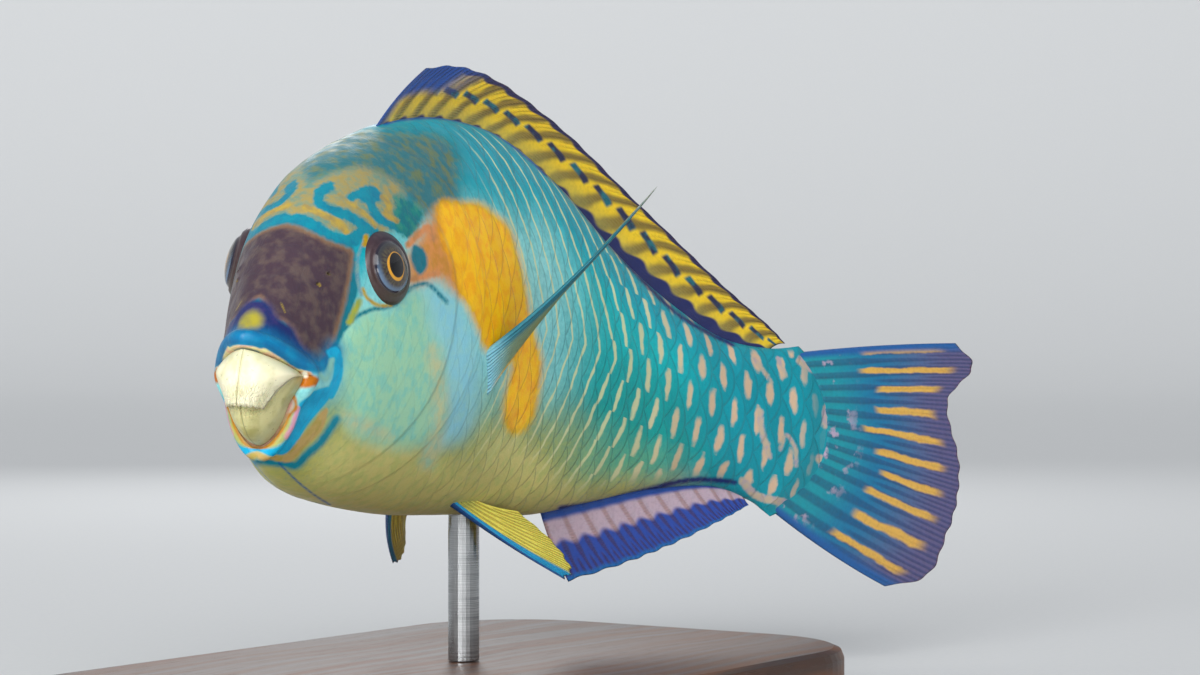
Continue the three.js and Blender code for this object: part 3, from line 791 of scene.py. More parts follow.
class Effects:
    """The node groups that several finishes share."""

    def __init__(self) -> None:
        """Build each group once."""
        self.mark_edge = self.build_mark_edge()
        self.scale_rows = self.build_scale_rows()
        self.row_dashes = self.build_row_dashes()
        self.speckle = self.build_speckle()
        self.fin_rays = self.build_fin_rays()

    @staticmethod
    def build_mark_edge() -> bpy.types.NodeTree:
        """Turn a distance from a mark's outline, in mm, into its mask, with a soft and slightly ragged edge.

        Returns:
            The group.
        """
        inputs = {"Distance": 0.0, "Softness": 0.3, "Wobble": 0.2, "Grow": 0.0, "Rough": 0.0}
        paint, given, sink = shared_group("mark_edge", inputs, ("Mask",))
        shift = paint.times(given["Rough"], given["Wobble"])
        moved = paint.less(paint.add(given["Distance"], shift), given["Grow"])
        low = paint.times(given["Softness"], -1.0)
        paint.feed(sink.inputs["Mask"], paint.rest(paint.span(moved, low, given["Softness"])))
        return paint.tree

    @staticmethod
    def scale_read(paint: Paint, along: Socket, row: Socket, shift: float) -> tuple[Socket, Socket]:
        """Read one of the two sets of scales that overlap like roof tiles.

        Args:
            paint: The group being built.
            along: Scales along the body.
            row: Rows up from the side line.
            shift: 0 for the even rows and 1 for the odd ones.

        Returns:
            How near the point is to the scale's free edge, and a number for each scale.
        """
        half = paint.times(paint.add(row, shift), 0.5)
        column = paint.add(half, 0.5)
        local = paint.less(paint.times(paint.fraction(column), 2.0), 1.0)
        rounded = paint.times(paint.math("POWER", paint.size(local), 2.0), 0.5)
        run = paint.add(paint.add(along, 0.5 + 0.5 * shift), rounded)
        whole = paint.times(paint.math("FLOOR", column), 17.0)
        number = paint.add(paint.math("FLOOR", run), whole)
        return paint.rest(paint.fraction(run)), paint.add(number, 91.0 * shift)

    @staticmethod
    def build_scale_rows() -> bpy.types.NodeTree:
        """Lay out overlapping scales, with the way to the free edge, a tone for each scale and a height.

        Returns:
            The group.
        """
        inputs = {"Lattice": (0.0, 0.0, 0.0)}
        paint, given, sink = shared_group("scale_rows", inputs, ("Near", "Tone", "Height"))
        along, row, _ = paint.split(given["Lattice"])
        even_near, even_number = Effects.scale_read(paint, along, row, 0.0)
        odd_near, odd_number = Effects.scale_read(paint, along, row, 1.0)
        near = paint.math("MINIMUM", even_near, odd_near)
        number = paint.node("Mix", data_type="FLOAT")
        paint.feed(number.inputs[0], paint.math("LESS_THAN", even_near, odd_near))
        paint.feed(number.inputs[2], odd_number)
        paint.feed(number.inputs[3], even_number)
        tone = paint.node("TexWhiteNoise", noise_dimensions="1D")
        paint.feed(tone.inputs["W"], number.outputs[0])
        slope = paint.rest(paint.times(near, 0.8))
        paint.feed(sink.inputs["Near"], near)
        paint.feed(sink.inputs["Tone"], tone.outputs["Value"])
        paint.feed(sink.inputs["Height"], paint.times(paint.span(near, 0.0, 0.1), slope))
        return paint.tree

    @staticmethod
    def build_row_dashes() -> bpy.types.NodeTree:
        """Put one dash on each scale. At full slant they join into lines that lean back from the side line.

        Returns:
            The group.
        """
        inputs = {"Lattice": (0.0, 0.0, 0.0), "Width": 0.08, "Length": 0.4, "Slant": 0.0}
        paint, given, sink = shared_group("row_dashes", inputs, ("Mask",))
        along, row, _ = paint.split(given["Lattice"])
        number = paint.math("ROUND", row)
        off = paint.less(row, number)
        odd = paint.times(paint.math("FLOORED_MODULO", number, 2.0), 0.5)
        lean = paint.times(paint.times(off, paint.math("SIGN", row)), given["Slant"])
        run = paint.add(paint.add(along, odd), paint.add(lean, paint.wander(160.0, 2.0, 0.35)))
        aside = paint.apart(paint.fraction(paint.add(run, 0.5)), 0.5)
        across = paint.math("DIVIDE", aside, given["Width"])
        ends = paint.math("DIVIDE", off, given["Length"])
        oval = paint.math("SQRT", paint.add(paint.times(across, across), paint.times(ends, ends)))
        ragged = paint.add(oval, paint.wander(420.0, 3.0, 1.1))
        paint.feed(sink.inputs["Mask"], paint.rest(paint.span(ragged, 0.55, 1.25)))
        return paint.tree

    @staticmethod
    def build_speckle() -> bpy.types.NodeTree:
        """Scatter soft grains, at a number of lumps to the metre.

        Returns:
            The group.
        """
        inputs = {"Scale": 500.0, "Low": 0.45, "High": 0.65}
        paint, given, sink = shared_group("speckle", inputs, ("Mask",))
        made = paint.node("TexNoise")
        made.inputs["Detail"].default_value = 4.0
        paint.feed(made.inputs["Scale"], given["Scale"])
        paint.feed(made.inputs["Vector"], paint.place())
        paint.feed(sink.inputs["Mask"], paint.span(made.outputs["Fac"], given["Low"], given["High"]))
        return paint.tree

    @staticmethod
    def build_fin_rays() -> bpy.types.NodeTree:
        """Read a fin's rays: the crest of each, the finer branches near the tips, and their height.

        Returns:
            The group.
        """
        inputs = {"Blade": (0.0, 0.0, 0.0)}
        paint, given, sink = shared_group("fin_rays", inputs, ("Crest", "Branch", "Height"))
        phase, reach, _ = paint.split(given["Blade"])
        waves = []
        for count in (1.0, 2.0, 4.0):
            turn = paint.times(phase, 2 * math.pi * count)
            waves.append(paint.times(paint.add(paint.math("COSINE", turn), 1.0), 0.5))
        whole, halves, quarters = (paint.join(wave, 0, 0) for wave in waves)
        once = paint.mix(paint.span(reach, 0.3, 0.55), whole, halves)
        branch = paint.split(paint.mix(paint.span(reach, 0.6, 0.85), once, quarters))[0]
        rings = paint.times(paint.math("SINE", paint.times(reach, 160.0)), 0.15)
        paint.feed(sink.inputs["Crest"], waves[0])
        paint.feed(sink.inputs["Branch"], branch)
        height = paint.times(paint.math("POWER", branch, 1.5), paint.add(0.85, rings))
        paint.feed(sink.inputs["Height"], height)
        return paint.tree


# Markings

# How many mm of the fish a pixel of the photo spans
MM_PER_PX = 0.22


@dataclass(frozen=True)
class Mark:
    """A painted mark, laid out in the photo's pixels and worn on both sides of the fish.

    Each part is a width and its points. A width of 0 makes a filled outline, any other a stroke that wide.
    """

    name: str
    colour: str
    fleck: str
    parts: tuple
    soft: float = 0.35
    wobble: float = 0.5
    border: str = ""

    def distance(self, pixels: Array) -> Array:
        """Measure how far points lie from the mark's edge.

        Args:
            pixels: Where the points lie in the photo.

        Returns:
            Each distance in mm, less than 0 inside the mark.
        """
        nearest = np.full(pixels.shape[:-1], np.inf)
        for width, points in self.parts:
            line = curved(np.array(points, float), closed=width == 0)
            if width:
                edge = polyline_distance(pixels, line) - width / 2
            else:
                around = polyline_distance(pixels, np.concatenate([line, line[:1]]))
                edge = np.where(inside_outline(pixels, line), -around, around)
            nearest = np.minimum(nearest, edge)
        return nearest * MM_PER_PX


MARKS = (
    Mark("throat", "d4cd8e", "c3c685", (
        (0, (
            (300, 485), (330, 445), (380, 432), (430, 452), (470, 462), (505, 432), (560, 478), (610, 520),
            (620, 600), (200, 600), (232, 470),
        )),
    ), soft=4.5, wobble=2),
    Mark("cheek_green", "a9d6b6", "94cfbd", (
        (0, (
            (339.3, 341.4), (350.2, 323.2), (365.8, 310.2), (391.8, 308.9), (412.6, 292), (433.4, 297.2),
            (445.1, 318), (450.3, 344), (445.1, 383), (438.6, 422), (417.8, 445.4), (381.4, 445.4),
            (350.2, 432.4), (344.5, 409), (343.7, 370),
        )),
    ), soft=2.5, wobble=1.5),
    Mark("gill_blue", "9ad2df", "9fd3d6", (
        (0, (
            (425, 288), (440, 291), (455, 303), (470, 333), (478, 370), (476, 410), (464, 435.2),
            (446, 444.7), (430, 445.4), (440, 430.7), (444, 390), (438, 350), (428, 320),
        )),
    ), soft=3.2, wobble=1),
    Mark("gill_cream_and_cheek_highlight", "c4caa2", "a9cbb2", (
        (14, ((431, 352), (437, 390), (436, 430), (427, 462))),
        # The second part is a painted highlight: a pale cream streak on the lower cheek where the light
        # catches it.
        (0, ((342, 413), (356, 416), (374, 424), (392, 436), (380, 437), (360, 430), (345, 424))),
    ), soft=1.8, wobble=1),
    Mark("nape_grey", "3b7078", "667558", (
        (0, (
            (360.6, 125.6), (449, 138.6), (459.4, 195.8), (443.8, 211.4), (420.4, 216.6), (397, 195.8),
            (371, 180.2), (339.8, 177.6), (313.8, 185.4), (293, 195.8), (280, 219.2), (254, 227),
            (230.6, 240), (204.6, 255.6), (204.6, 162), (319, 110),
        )),
    ), soft=2.5, wobble=3),
    Mark("forehead_tan", "9c8f62", "6f8a7c", (
        (0, (
            (281.3, 221.8), (289.1, 199.7), (303.4, 186.7), (326.8, 176.3), (345, 169.8), (360.6, 167.2),
            (381.4, 175), (397, 185.4), (402.2, 195.8), (407.4, 214), (402.2, 227), (381.4, 233.5),
            (371, 233.5), (350.2, 234.8), (324.2, 229.6), (300.8, 217.9),
        )),
    ), soft=1.2, wobble=2),
    Mark("brow_teal", "0c8296", "17768f", (
        (13, (
            (283.1, 223.9), (300.8, 220.5), (317.7, 229.6), (333.3, 239.5), (350.2, 241.3), (360.6, 233.5),
            (371, 232.2),
        )),
        (10.5, (
            (329.4, 186.7), (319.5, 192.7), (319.5, 204.1), (330.7, 210.9), (346.3, 215.3), (359.3, 223.1),
            (368.4, 231.7),
        )),
        (9, (
            (350.2, 197.9), (363.2, 192.7), (373.6, 197.1), (370, 203.6), (374.9, 215.3), (385.3, 223.1),
            (398.3, 228.3),
        )),
        (0, ((360.6, 188), (371, 186.7), (380.1, 193.2), (378.8, 201), (368.4, 203.6), (358, 199.7))),
    ), soft=0.5, wobble=1.2),
    Mark("temple_teal", "0f6f78", "3d8478", (
        (0, (
            (394.4, 197.1), (407.4, 201), (419.9, 211.9), (417.8, 227), (408.7, 238.7), (398.3, 234.3),
            (391.8, 221.8), (393.9, 208.8),
        )),
    ), soft=0.8, wobble=2.5),
    Mark("brow_tan", "b09a5a", "94855c", (
        (7, ((304.7, 206.7), (324.2, 215.3), (338.5, 223.6), (345.5, 231.2))),
        (3.5, ((338.5, 194.5), (350.2, 204.1), (360.6, 210.9), (371, 221.3), (374.1, 227.5))),
        (5.5, ((381.4, 197.1), (388.7, 206.7), (384.5, 214.5), (395.7, 221.3))),
    ), soft=0.35, wobble=0.8),
    Mark("side_salmon", "d79b6c", "c7925a", (
        (0, (
            (404, 262), (412, 246), (424, 225), (440, 205), (462, 212), (462, 250), (470, 296), (455, 296),
            (436, 280), (420, 284), (408, 284),
        )),
    ), soft=2.2, wobble=1.5),
    Mark("side_orange", "ffc41f", "f9ad26", (
        (0, (
            (437.6, 205.6), (452, 203), (479, 203), (493, 213), (508, 226), (518, 252), (526, 288),
            (530, 317), (537, 343), (542, 364), (539, 390), (533, 417), (520, 432), (508, 429), (504, 408),
            (507, 388), (512, 364), (503, 352), (487, 351), (475, 329), (463, 302), (455, 285), (450, 262),
            (440, 240),
        )),
    ), soft=1.6, wobble=1.2),
    Mark("salmon_bars", "d49872", "b98a66", (
        (7, ((406.9, 245.2), (416.5, 234.8), (426.1, 228.3), (430.3, 240))),
        (5.5, ((408.7, 279.5), (423, 276.4), (436, 273.3))),
    ), soft=0.5, wobble=0.8),
    Mark("teal_lines", "0b6f80", "10778a", (
        (0, ((412.6, 245.2), (423, 251.7), (425.1, 266), (418.3, 275.4), (411.3, 266), (409, 255.6))),
        (3.6, (
            (336.7, 340.1), (352.8, 319.3), (371, 309.7), (391.8, 305.5), (407.9, 289.4), (421.7, 283.7),
            (432.1, 289.4), (443.3, 302.4),
        )),
        (0, (
            (350.2, 245.2), (356.7, 266), (357.5, 289.4), (350.2, 315.4), (344.2, 331), (337.7, 345.3),
            (329.4, 345.3), (335.9, 323.2), (342.4, 299.8), (347.1, 276.4),
        )),
    ), soft=0.5, wobble=0.8),
    Mark("brow_blue", "6f94a6", "86a39c", (
        (3.4, ((364.5, 239.2), (357.7, 255.6), (356.7, 276.4), (360.6, 295.1))),
    ), soft=0.4, wobble=0.4),
    Mark("eye_ochre", "b9983a", "a8894a", (
        (5.5, ((365.3, 236.9), (364.2, 244.7))),
        (3.4, ((362.2, 288.9), (366.8, 298.2), (376.7, 305), (389.7, 305.5))),
    ), soft=0.4, wobble=0.5),
    Mark("olive_spot", "a3a653", "8fa060", (
        (6.5, ((358.5, 301.1), (354.1, 311.5), (349.2, 321.9))),
    ), soft=0.5, wobble=0.8),
    Mark("snout_cap", "41333c", "574a48", (
        (0, (
            (204.6, 292), (230.6, 291.5), (246.2, 291.5), (256.6, 292.5), (265.7, 299.3), (270.9, 308.1),
            (277.4, 315.9), (286.5, 320.1), (295.1, 328.9), (300.8, 341.9), (308.6, 352.3), (317.7, 360.1),
            (325.5, 351.8), (331.2, 338.8), (337.2, 318), (342.4, 297.2), (346.3, 276.4), (348.9, 255.6),
            (345, 251.2), (329.4, 245.2), (313.8, 237.4), (293, 228.8), (274.8, 227.5), (248.8, 227.5),
            (204.6, 227.5),
        )),
    ), soft=0.7, wobble=0.8, border="7c6452"),
    Mark("lip_navy", "27305c", "3a3560", (
        (0, (
            (204.6, 299), (250, 299), (262, 299.5), (268.3, 302.5), (273, 308), (278.7, 317.5),
            (293, 327.9), (301.3, 343.2), (311.2, 354.4), (319, 361.7), (327.3, 353.6), (332.5, 346.1),
            (339.3, 347.9), (337.7, 357), (329.9, 366.6), (319, 371.3), (304.7, 370.5), (290.4, 366.6),
            (277.4, 357.5), (264.4, 348.2), (246.2, 344.5), (230.6, 345.6), (204.6, 359.6),
        )),
    ), soft=1.0, wobble=0.5),
    Mark("lip_cobalt", "0878a8", "128ab4", (
        (13, (
            (220.2, 345.3), (233.2, 338.8), (248.8, 336.7), (265.7, 340.1), (280, 347.9), (293, 358.3),
            (306, 364.3), (320.3, 365.8), (329.4, 359.6), (335.1, 350.5),
        )),
    ), soft=3.0, wobble=0.8),
    Mark("snout_spot", "a39a4c", "8f8a4e", (
        (0, (
            (240, 310.5), (252, 310.5), (257.5, 312), (261.3, 316), (262.3, 321), (260, 325.6), (255, 328),
            (240, 328.2),
        )),
    ), soft=1.3, wobble=0.5),
    Mark("cap_spots", "9c8a4c", "8a7a50", (
        (2, ((327, 273), (329, 274.5))),
        (2.6, ((318, 284), (319.5, 286))),
        (1.6, ((281, 303), (285, 312))),
    ), soft=0.25, wobble=0.3),
    Mark("mouth_azure", "0ea8d2", "1499c4", (
        (0, (
            (327, 350), (337, 347), (342, 360), (342, 376), (336, 392), (331, 399), (327, 392), (333, 376),
            (333, 362), (328, 356),
        )),
        (0, (
            (300, 399), (327, 387), (331, 395), (312, 419), (303, 432), (291, 453), (271, 454), (250, 449),
            (235, 438), (250, 444), (270, 448), (284, 437), (292, 417),
        )),
    ), soft=0.4, wobble=0.5),
    Mark("corner_grey", "8fbfb4", "7db4b4", (
        (6, ((332, 360), (327, 378), (320, 376))),
    ), soft=0.6, wobble=0.6),
    Mark("chin_teal", "147f96", "1a8ba0", (
        (8, ((336, 419), (321, 441), (306, 455), (296, 465), (283, 463), (256, 459), (236, 446))),
    ), soft=0.8, wobble=0.8),
    Mark("chin_tan", "b9a070", "a8975c", (
        (0, (
            (322, 410), (328, 410), (321, 431), (306, 446), (293, 460), (281, 462), (258, 456), (240, 446),
            (260, 452), (283, 455), (297, 441), (311, 425),
        )),
    ), soft=0.4, wobble=0.5),
    Mark("mouth_lining", "b98f86", "a8796c", (
        (0, (
            (222, 357), (243, 350), (262, 353), (278, 364), (292, 373), (301, 378), (298, 386), (294, 394),
            (292, 406), (285, 418), (279, 432), (268, 445), (257, 447), (244, 441), (232, 425), (222, 400),
        )),
    ), soft=0.8, wobble=0.3),
    Mark("lip_pink", "cf9cae", "c79a9c", (
        (3.2, ((296, 406), (290, 425), (284, 436))),
    ), soft=0.3, wobble=0.4),
    Mark("lip_brown", "a8703a", "b0803c", (
        (2.6, (
            (293, 393), (294, 406), (288, 415), (283, 427), (272, 444), (261, 448), (246, 441), (235, 430),
        )),
    ), soft=0.3, wobble=0.4),
    Mark("lip_cream", "dcd4a0", "d9b59c", (
        (3.6, ((214, 363), (226, 353), (243, 346.5), (262, 350))),
        (6.5, ((262, 350), (278, 360), (292, 369.5), (306, 374))),
    ), soft=0.3, wobble=0.3),
    Mark("corner_salmon", "bd7a4c", "a86a3a", (
        (0, ((300, 371), (312, 376), (319, 380), (312, 385), (300, 387), (292, 393))),
    ), soft=0.5, wobble=0.6),
    Mark("corner_white", "e8e4d2", "e0d8c0", (
        (4, ((303, 372), (304, 376))),
    ), soft=0.3, wobble=0.2),
    Mark("blue_lines", "1a5f9c", "1a5f9c", (
        (1.8, ((279, 463), (296, 480), (312, 493), (330, 505))),
        (7, ((385, 122), (403, 117.5), (445, 116.5), (488, 128), (520, 149), (547, 173))),
    ), soft=0.25, wobble=0.3),
    Mark("navy_lines", "1c2c6a", "242a60", (
        (4, ((540, 166), (573, 200), (627, 264), (680, 316), (733, 345))),
        (5, ((560, 508), (600, 503), (640, 492), (690, 480), (735, 482))),
    ), soft=0.5, wobble=0.8),
    Mark("stem_marks", "b9ab98", "a89ca6", (
        (7, ((825.4, 425), (826.6, 408), (836.5, 399.8), (845.3, 405.1))),
        (6, ((842.4, 413.3), (855.6, 426.2))),
        (4, ((780.2, 449.1), (786.7, 435), (795.5, 449.7), (796.1, 466.1))),
        (6, ((760.3, 411.5), (762, 431.5), (769.7, 456.4))),
        (10, ((801.3, 360.5), (811.6, 367.5), (822.5, 370.5))),
        (9, ((819.5, 458.5), (833.6, 470.2), (845.9, 476.1))),
        (8, ((742.7, 481.3), (757.3, 496), (783.7, 501.9))),
        (4, ((754.4, 358.1), (769.1, 378.7))),
        (4, ((777.9, 358.1), (785.8, 376.3))),
    ), soft=0.4, wobble=0.7),
)


# Skin


@dataclass
class Skin:
    """The whole skin, from the lips to the root of the tail fin, as one closed piece. Sizes are in mm."""

    around: int = 260
    head_rows: int = 190
    trunk_rows: int = 150
    head_gather: float = 1.2
    trunk_gather: float = 1.15
    gill_rise: float = 0.8
    gill_blend: float = 26.0
    gill_fall: float = 0.9
    crease_depth: float = 0.12
    crease_width: float = 1.6
    cheek_ahead: float = 15.0
    cheek_step: float = 2.5
    cheek_rise: float = 0.6
    lip_rise: float = 0.9
    lip_back: float = 1.1
    lip_reach: float = 1.7
    tail_taper: float = 0.6
    taper_length: float = 11.0
    end_sunk: float = 0.5
    front_pitch: float = 6.8
    rear_pitch: float = 8.4
    pitch_from: float = 140.0
    pitch_to: float = 180.0
    row_start: float = 182.5
    row_drop: float = 1.4
    row_height: float = 7.9
    nostrils: tuple = ((21.1, 6.2, 0.55), (18.2, 3.7, 0.45))
    nostril_depth: float = 1.1
    nostril_rim: float = 0.3
    rim_margin: float = 0.45
    pit_margin: float = 0.1
    pit_slope: float = 0.6
    pocket: tuple = (
        (0.0, 5.0),
        (0.5, 5.0),
        (0.88, 3.8),
        (0.925, 1.8),
        (0.935, 0.7),
        (0.945, 0.1),
        (0.965, -0.15),
    )

    def rows(self) -> tuple[Array, Array, Array, Array]:
        """Lay out the rows: first the mouth's pocket, then the head, the trunk and the closed end.

        Returns:
            Each row's share of the head, share of the trunk, scale about the core and shift back.
        """
        shares, backs = np.array(self.pocket).T
        outside = self.head_rows + self.trunk_rows
        head = np.linspace(0, 1, self.head_rows) ** self.head_gather
        trunk = np.linspace(0, 1, self.trunk_rows) ** self.trunk_gather
        first = np.concatenate([np.zeros(len(shares)), head, np.ones(self.trunk_rows + 1)])
        second = np.concatenate([np.zeros(len(shares) + self.head_rows), trunk, [1.0]])
        scale = np.concatenate([shares, np.ones(outside), [0.0]])
        back = np.concatenate([backs, np.zeros(outside), [-self.end_sunk]])
        return first, second, scale, back

    def surface(self) -> tuple[Array, Array, Array, Array]:
        """Lay out the plain surface.

        Returns:
            The points in fish space by row and column, each point's section and angle, and each row's scale.
        """
        first, second, scale, back = self.rows()
        angle = np.linspace(-math.pi, math.pi, self.around + 1)[None, :]
        edge = gill_edge(angle)
        behind = edge + (STEM_END - edge) * second[:, None]
        ahead = RIM + (edge - RIM) * first[:, None]
        x = np.where(second[:, None] > 0, behind, ahead)
        points = body_point(x, angle)
        points[..., 2] *= 1 - self.tail_taper * smoothstep(x, STEM_END - self.taper_length, STEM_END)
        at_tail = (second > 0)[:, None, None]
        core = np.where(at_tail, [STEM_END, SIDE_H[-1], 0.0], [MOUTH_S, MOUTH_H, 0.0])
        points = core + (points - core) * scale[:, None, None]
        points[..., 0] += back[:, None]
        return draw_jaw(points), x, np.broadcast_to(angle, x.shape), scale

    def gill_cover(self, past: Array) -> Array:
        """Return the gill cover's height: it rises to its edge, falls off and leaves a shallow crease.

        Args:
            past: How far behind the edge each point lies.

        Returns:
            The height in mm.
        """
        ahead = smoothstep(past, -self.gill_blend, 0.0) * self.gill_rise
        behind = np.maximum(past, 0)
        fall = (self.gill_rise + self.crease_depth) * np.exp(-((behind / self.gill_fall) ** 2))
        crease = self.crease_depth * np.exp(-behind / self.crease_width)
        return np.where(past > TINY, fall - crease, ahead)

    def rise(self, x: Array, angle: Array, points: Array) -> Array:
        """Raise the lips, cheeks and gill covers, and sink the nostrils.

        Args:
            x: Each point's section.
            angle: Each point's way round the section.
            points: The plain surface.

        Returns:
            How far the skin stands off the plain surface, in mm.
        """
        sideways = np.sin(angle) ** 2
        edge = gill_edge(angle)
        cover = self.gill_cover(x - edge) * sideways**0.6
        end = edge - self.cheek_ahead
        cheek = smoothstep(x, RIM, end - self.cheek_step) - smoothstep(x, end, end + self.cheek_step)
        lip = np.clip(1 - ((x - RIM - self.lip_back) / self.lip_reach) ** 2, 0, 1) ** 0.7
        nose = self.nostril_rim * self.nostril(points, self.rim_margin)
        nose -= self.nostril_depth * self.nostril(points, self.pit_margin)
        return cover + self.cheek_rise * sideways * cheek + self.lip_rise * lip + nose

    def lattice(self, points: Array, angle: Array) -> Array:
        """Lay out the scales.

        Args:
            points: The plain surface.
            angle: Each point's way round its section.

        Returns:
            Scales along the body, scale rows up from the side line, and the way up from -1 to 1.
        """
        steps = np.linalg.norm(np.diff(points, axis=1), axis=-1)
        girth = np.concatenate([np.zeros((len(points), 1)), np.cumsum(steps, axis=1)], axis=1)
        folded = np.abs(angle[0])
        left = angle[0] >= 0
        side = np.array([np.interp(math.pi / 2, folded[left], line[left]) for line in girth])
        from_side = side[:, None] - girth
        mirrored = np.where(left, from_side, from_side[:, ::-1])
        s = np.arange(0.0, 260.0, 1.0)
        growth = smoothstep(s, self.pitch_from, self.pitch_to)
        pitch = self.front_pitch + (self.rear_pitch - self.front_pitch) * growth
        count = np.concatenate([[0.0], np.cumsum(1.0 / pitch)[:-1]])
        count -= np.interp(self.row_start, s, count)
        along = np.interp(points[..., 0], s, count)
        return np.stack([along, (mirrored + self.row_drop) / self.row_height, np.cos(angle)], -1)

    def nostril(self, points: Array, margin: float) -> Array:
        """Find the nostrils.

        Args:
            points: The plain surface.
            margin: How much larger than its hole each nostril is read.

        Returns:
            How far inside a nostril each point lies, from 0 to 1.
        """
        deepest = np.zeros(points.shape[:-1])
        for s, h, radius in self.nostrils:
            apart = np.hypot(points[..., 0] - s, points[..., 1] - h)
            deepest = np.maximum(deepest, smoothstep(radius + margin - apart, 0.0, self.pit_slope))
        return deepest

    def build(self) -> bpy.types.Object:
        """Model the skin, and keep on it what its finish reads.

        Returns:
            The piece.
        """
        points, x, angle, scale = self.surface()
        room = SWIM.place(points)
        normal = unit(np.cross(np.gradient(room, axis=1), np.gradient(room, axis=0)))
        outward = np.sign(np.sum(normal * (room - room.mean(axis=1, keepdims=True)), axis=(1, 2)))
        normal *= np.where(outward == 0, 1, outward)[:, None, None]
        rise = self.rise(x, angle, points) * (scale == 1.0)[:, None]
        shaped = room + normal * rise[..., None]
        rows, columns = x.shape
        piece, column, row = new_sheet("skin", columns - 1, rows - 1)
        set_points(piece, shaped[row, column])
        mirrored = points * np.array([1, 1, 0]) + np.abs(points) * np.array([0, 0, 1])
        set_field(piece, "fish", mirrored[row, column])
        set_field(piece, "lattice", self.lattice(points, angle)[row, column])
        set_field(piece, "pit_shade", self.nostril(points, self.pit_margin)[row, column])
        pixels = PHOTO.pixels(SWIM.place(mirrored))
        for mark in MARKS:
            set_field(piece, "mark_" + mark.name, mark.distance(pixels)[row, column])
        close_piece(piece)
        return piece


# Fins


@dataclass(frozen=True)
class FinKeys:
    """A fin's rays: where along it each key ray stands, and the ray's root, bend and tip in fish space."""

    at: tuple
    root: tuple
    bend: tuple
    tip: tuple

    def read(self, points: tuple, u: Array) -> Array:
        """Return points of fish space between the key rays."""
        return np.stack([through(self.at, [p[k] for p in points], u) for k in range(3)], -1)


@dataclass
class Fin:
    """A fin as a thin closed sheet with raised rays. Sizes are in mm, and a notch is a share of the ray."""

    name: str
    node: str
    keys: FinKeys
    rays: int
    ridge: str = ""
    root_thick: float = 1.5
    tip_thick: float = 0.35
    ray_rise: float = 0.13
    ray_fade: float = 0.8
    notch: float = 0.025
    per_ray: int = 10
    rows: int = 44
    row_gather: float = 0.85
    edge_power: int = 24
    look: float = 0.01

    def root_point(self, u: Array) -> Array:
        """Find where the rays leave the body, sunk a little into it.

        Args:
            u: The way along the fin, from 0 to 1.

        Returns:
            The points in fish space.
        """
        if not self.ridge:
            return self.keys.read(self.keys.root, u)
        s = through(self.keys.at, self.keys.root, u)
        if self.ridge == "back":
            height = through(TOP_S, TOP_H, s) - FIN_SUNK
        else:
            height = through(BOTTOM_S, BOTTOM_H, s) + FIN_SUNK
        return np.stack([s, height, np.zeros_like(s)], -1)

    def middle(self, u: Array, v: Array) -> Array:
        """Find points of the fin's middle sheet.

        Args:
            u: The way along the fin, from 0 to 1.
            v: The way out along the ray, from 0 to 1.

        Returns:
            The points in the room, in mm.
        """
        root = self.root_point(u)
        bend = self.keys.read(self.keys.bend, u)
        tip = self.keys.read(self.keys.tip, u)
        v = v[..., None]
        return SWIM.place((1 - v) ** 2 * root + 2 * v * (1 - v) * bend + v * v * tip)

    def normals(self, u: Array, reach: Array) -> Array:
        """Find the directions out of the middle sheet.

        Args:
            u: The way along the fin.
            reach: The way out along the ray.

        Returns:
            The directions, at length 1.
        """
        behind = self.middle(np.clip(u + self.look, 0, 1), reach)
        ahead = self.middle(np.clip(u - self.look, 0, 1), reach)
        further = self.middle(u, reach + 2 * self.look)
        nearer = self.middle(u, reach - 2 * self.look)
        return unit(np.cross(behind - ahead, further - nearer))

    def build(self) -> bpy.types.Object:
        """Model the fin.

        Returns:
            The piece.
        """
        columns = (self.rays - 1) * self.per_ray
        piece, column, row = new_sheet(self.name, columns, 2 * self.rows)
        u = column / columns
        share = row / self.rows - 1.0
        side = np.sign(share)
        v = (1 - np.abs(share)) ** self.row_gather
        crest = 0.5 + 0.5 * np.cos(2 * math.pi * u * (self.rays - 1))
        reach = v * (1 - self.notch * (1 - crest))
        web = self.root_thick + (self.tip_thick - self.root_thick) * np.sqrt(v)
        thick = web / 2 + self.ray_rise * crest**3 * (1 - self.ray_fade * v)
        along_edge = np.sqrt(np.clip(1 - (2 * np.abs(u - 0.5)) ** self.edge_power, 0, 1))
        edge = along_edge * np.sqrt(np.clip(1 - v**self.edge_power, 0, 1))
        closed = np.where(np.abs(share) > 1 - TINY, 0.0, 1.0)
        points = self.middle(u, reach) + self.normals(u, reach) * (side * thick * edge * closed)[:, None]
        set_points(piece, points)
        set_field(piece, "blade", np.stack([u * (self.rays - 1), v, u], -1))
        close_piece(piece)
        return piece


DORSAL_KEYS = FinKeys(
    (0, 0.07, 0.16, 0.34, 0.55, 0.76, 0.92, 1),
    (62.5, 73, 86.5, 113, 144.5, 176, 200.5, 213.5),
    (
        (73, 52.8, 0), (84.5, 57.6, 0), (98, 60.5, 0), (124.5, 60.5, 0), (157, 49.8, 0), (187, 33.2, 0),
        (208, 24, 0), (216.8, 19.8, 0),
    ),
    (
        (86.5, 62.2, 0.4), (97.5, 65.4, 0.6), (111, 66.7, 0.7), (139.5, 61, 0.8), (171.5, 46, 0.8),
        (200, 30.6, 0.6), (215.5, 22.6, 0.3), (219.8, 19.8, 0),
    ),
)
ANAL_KEYS = FinKeys(
    (0, 0.15, 0.45, 0.75, 1),
    (144.5, 154.5, 173.5, 193, 208.6),
    ((149.5, -38, 0), (161.5, -34.8, 0), (180.5, -28.8, 0), (198.5, -23.4, 0), (210.2, -20.9, 0)),
    ((155.8, -45.2, 0.5), (169, -41, 0.6), (188, -33.6, 0.6), (204, -25.8, 0.4), (211.6, -21.6, 0)),
)
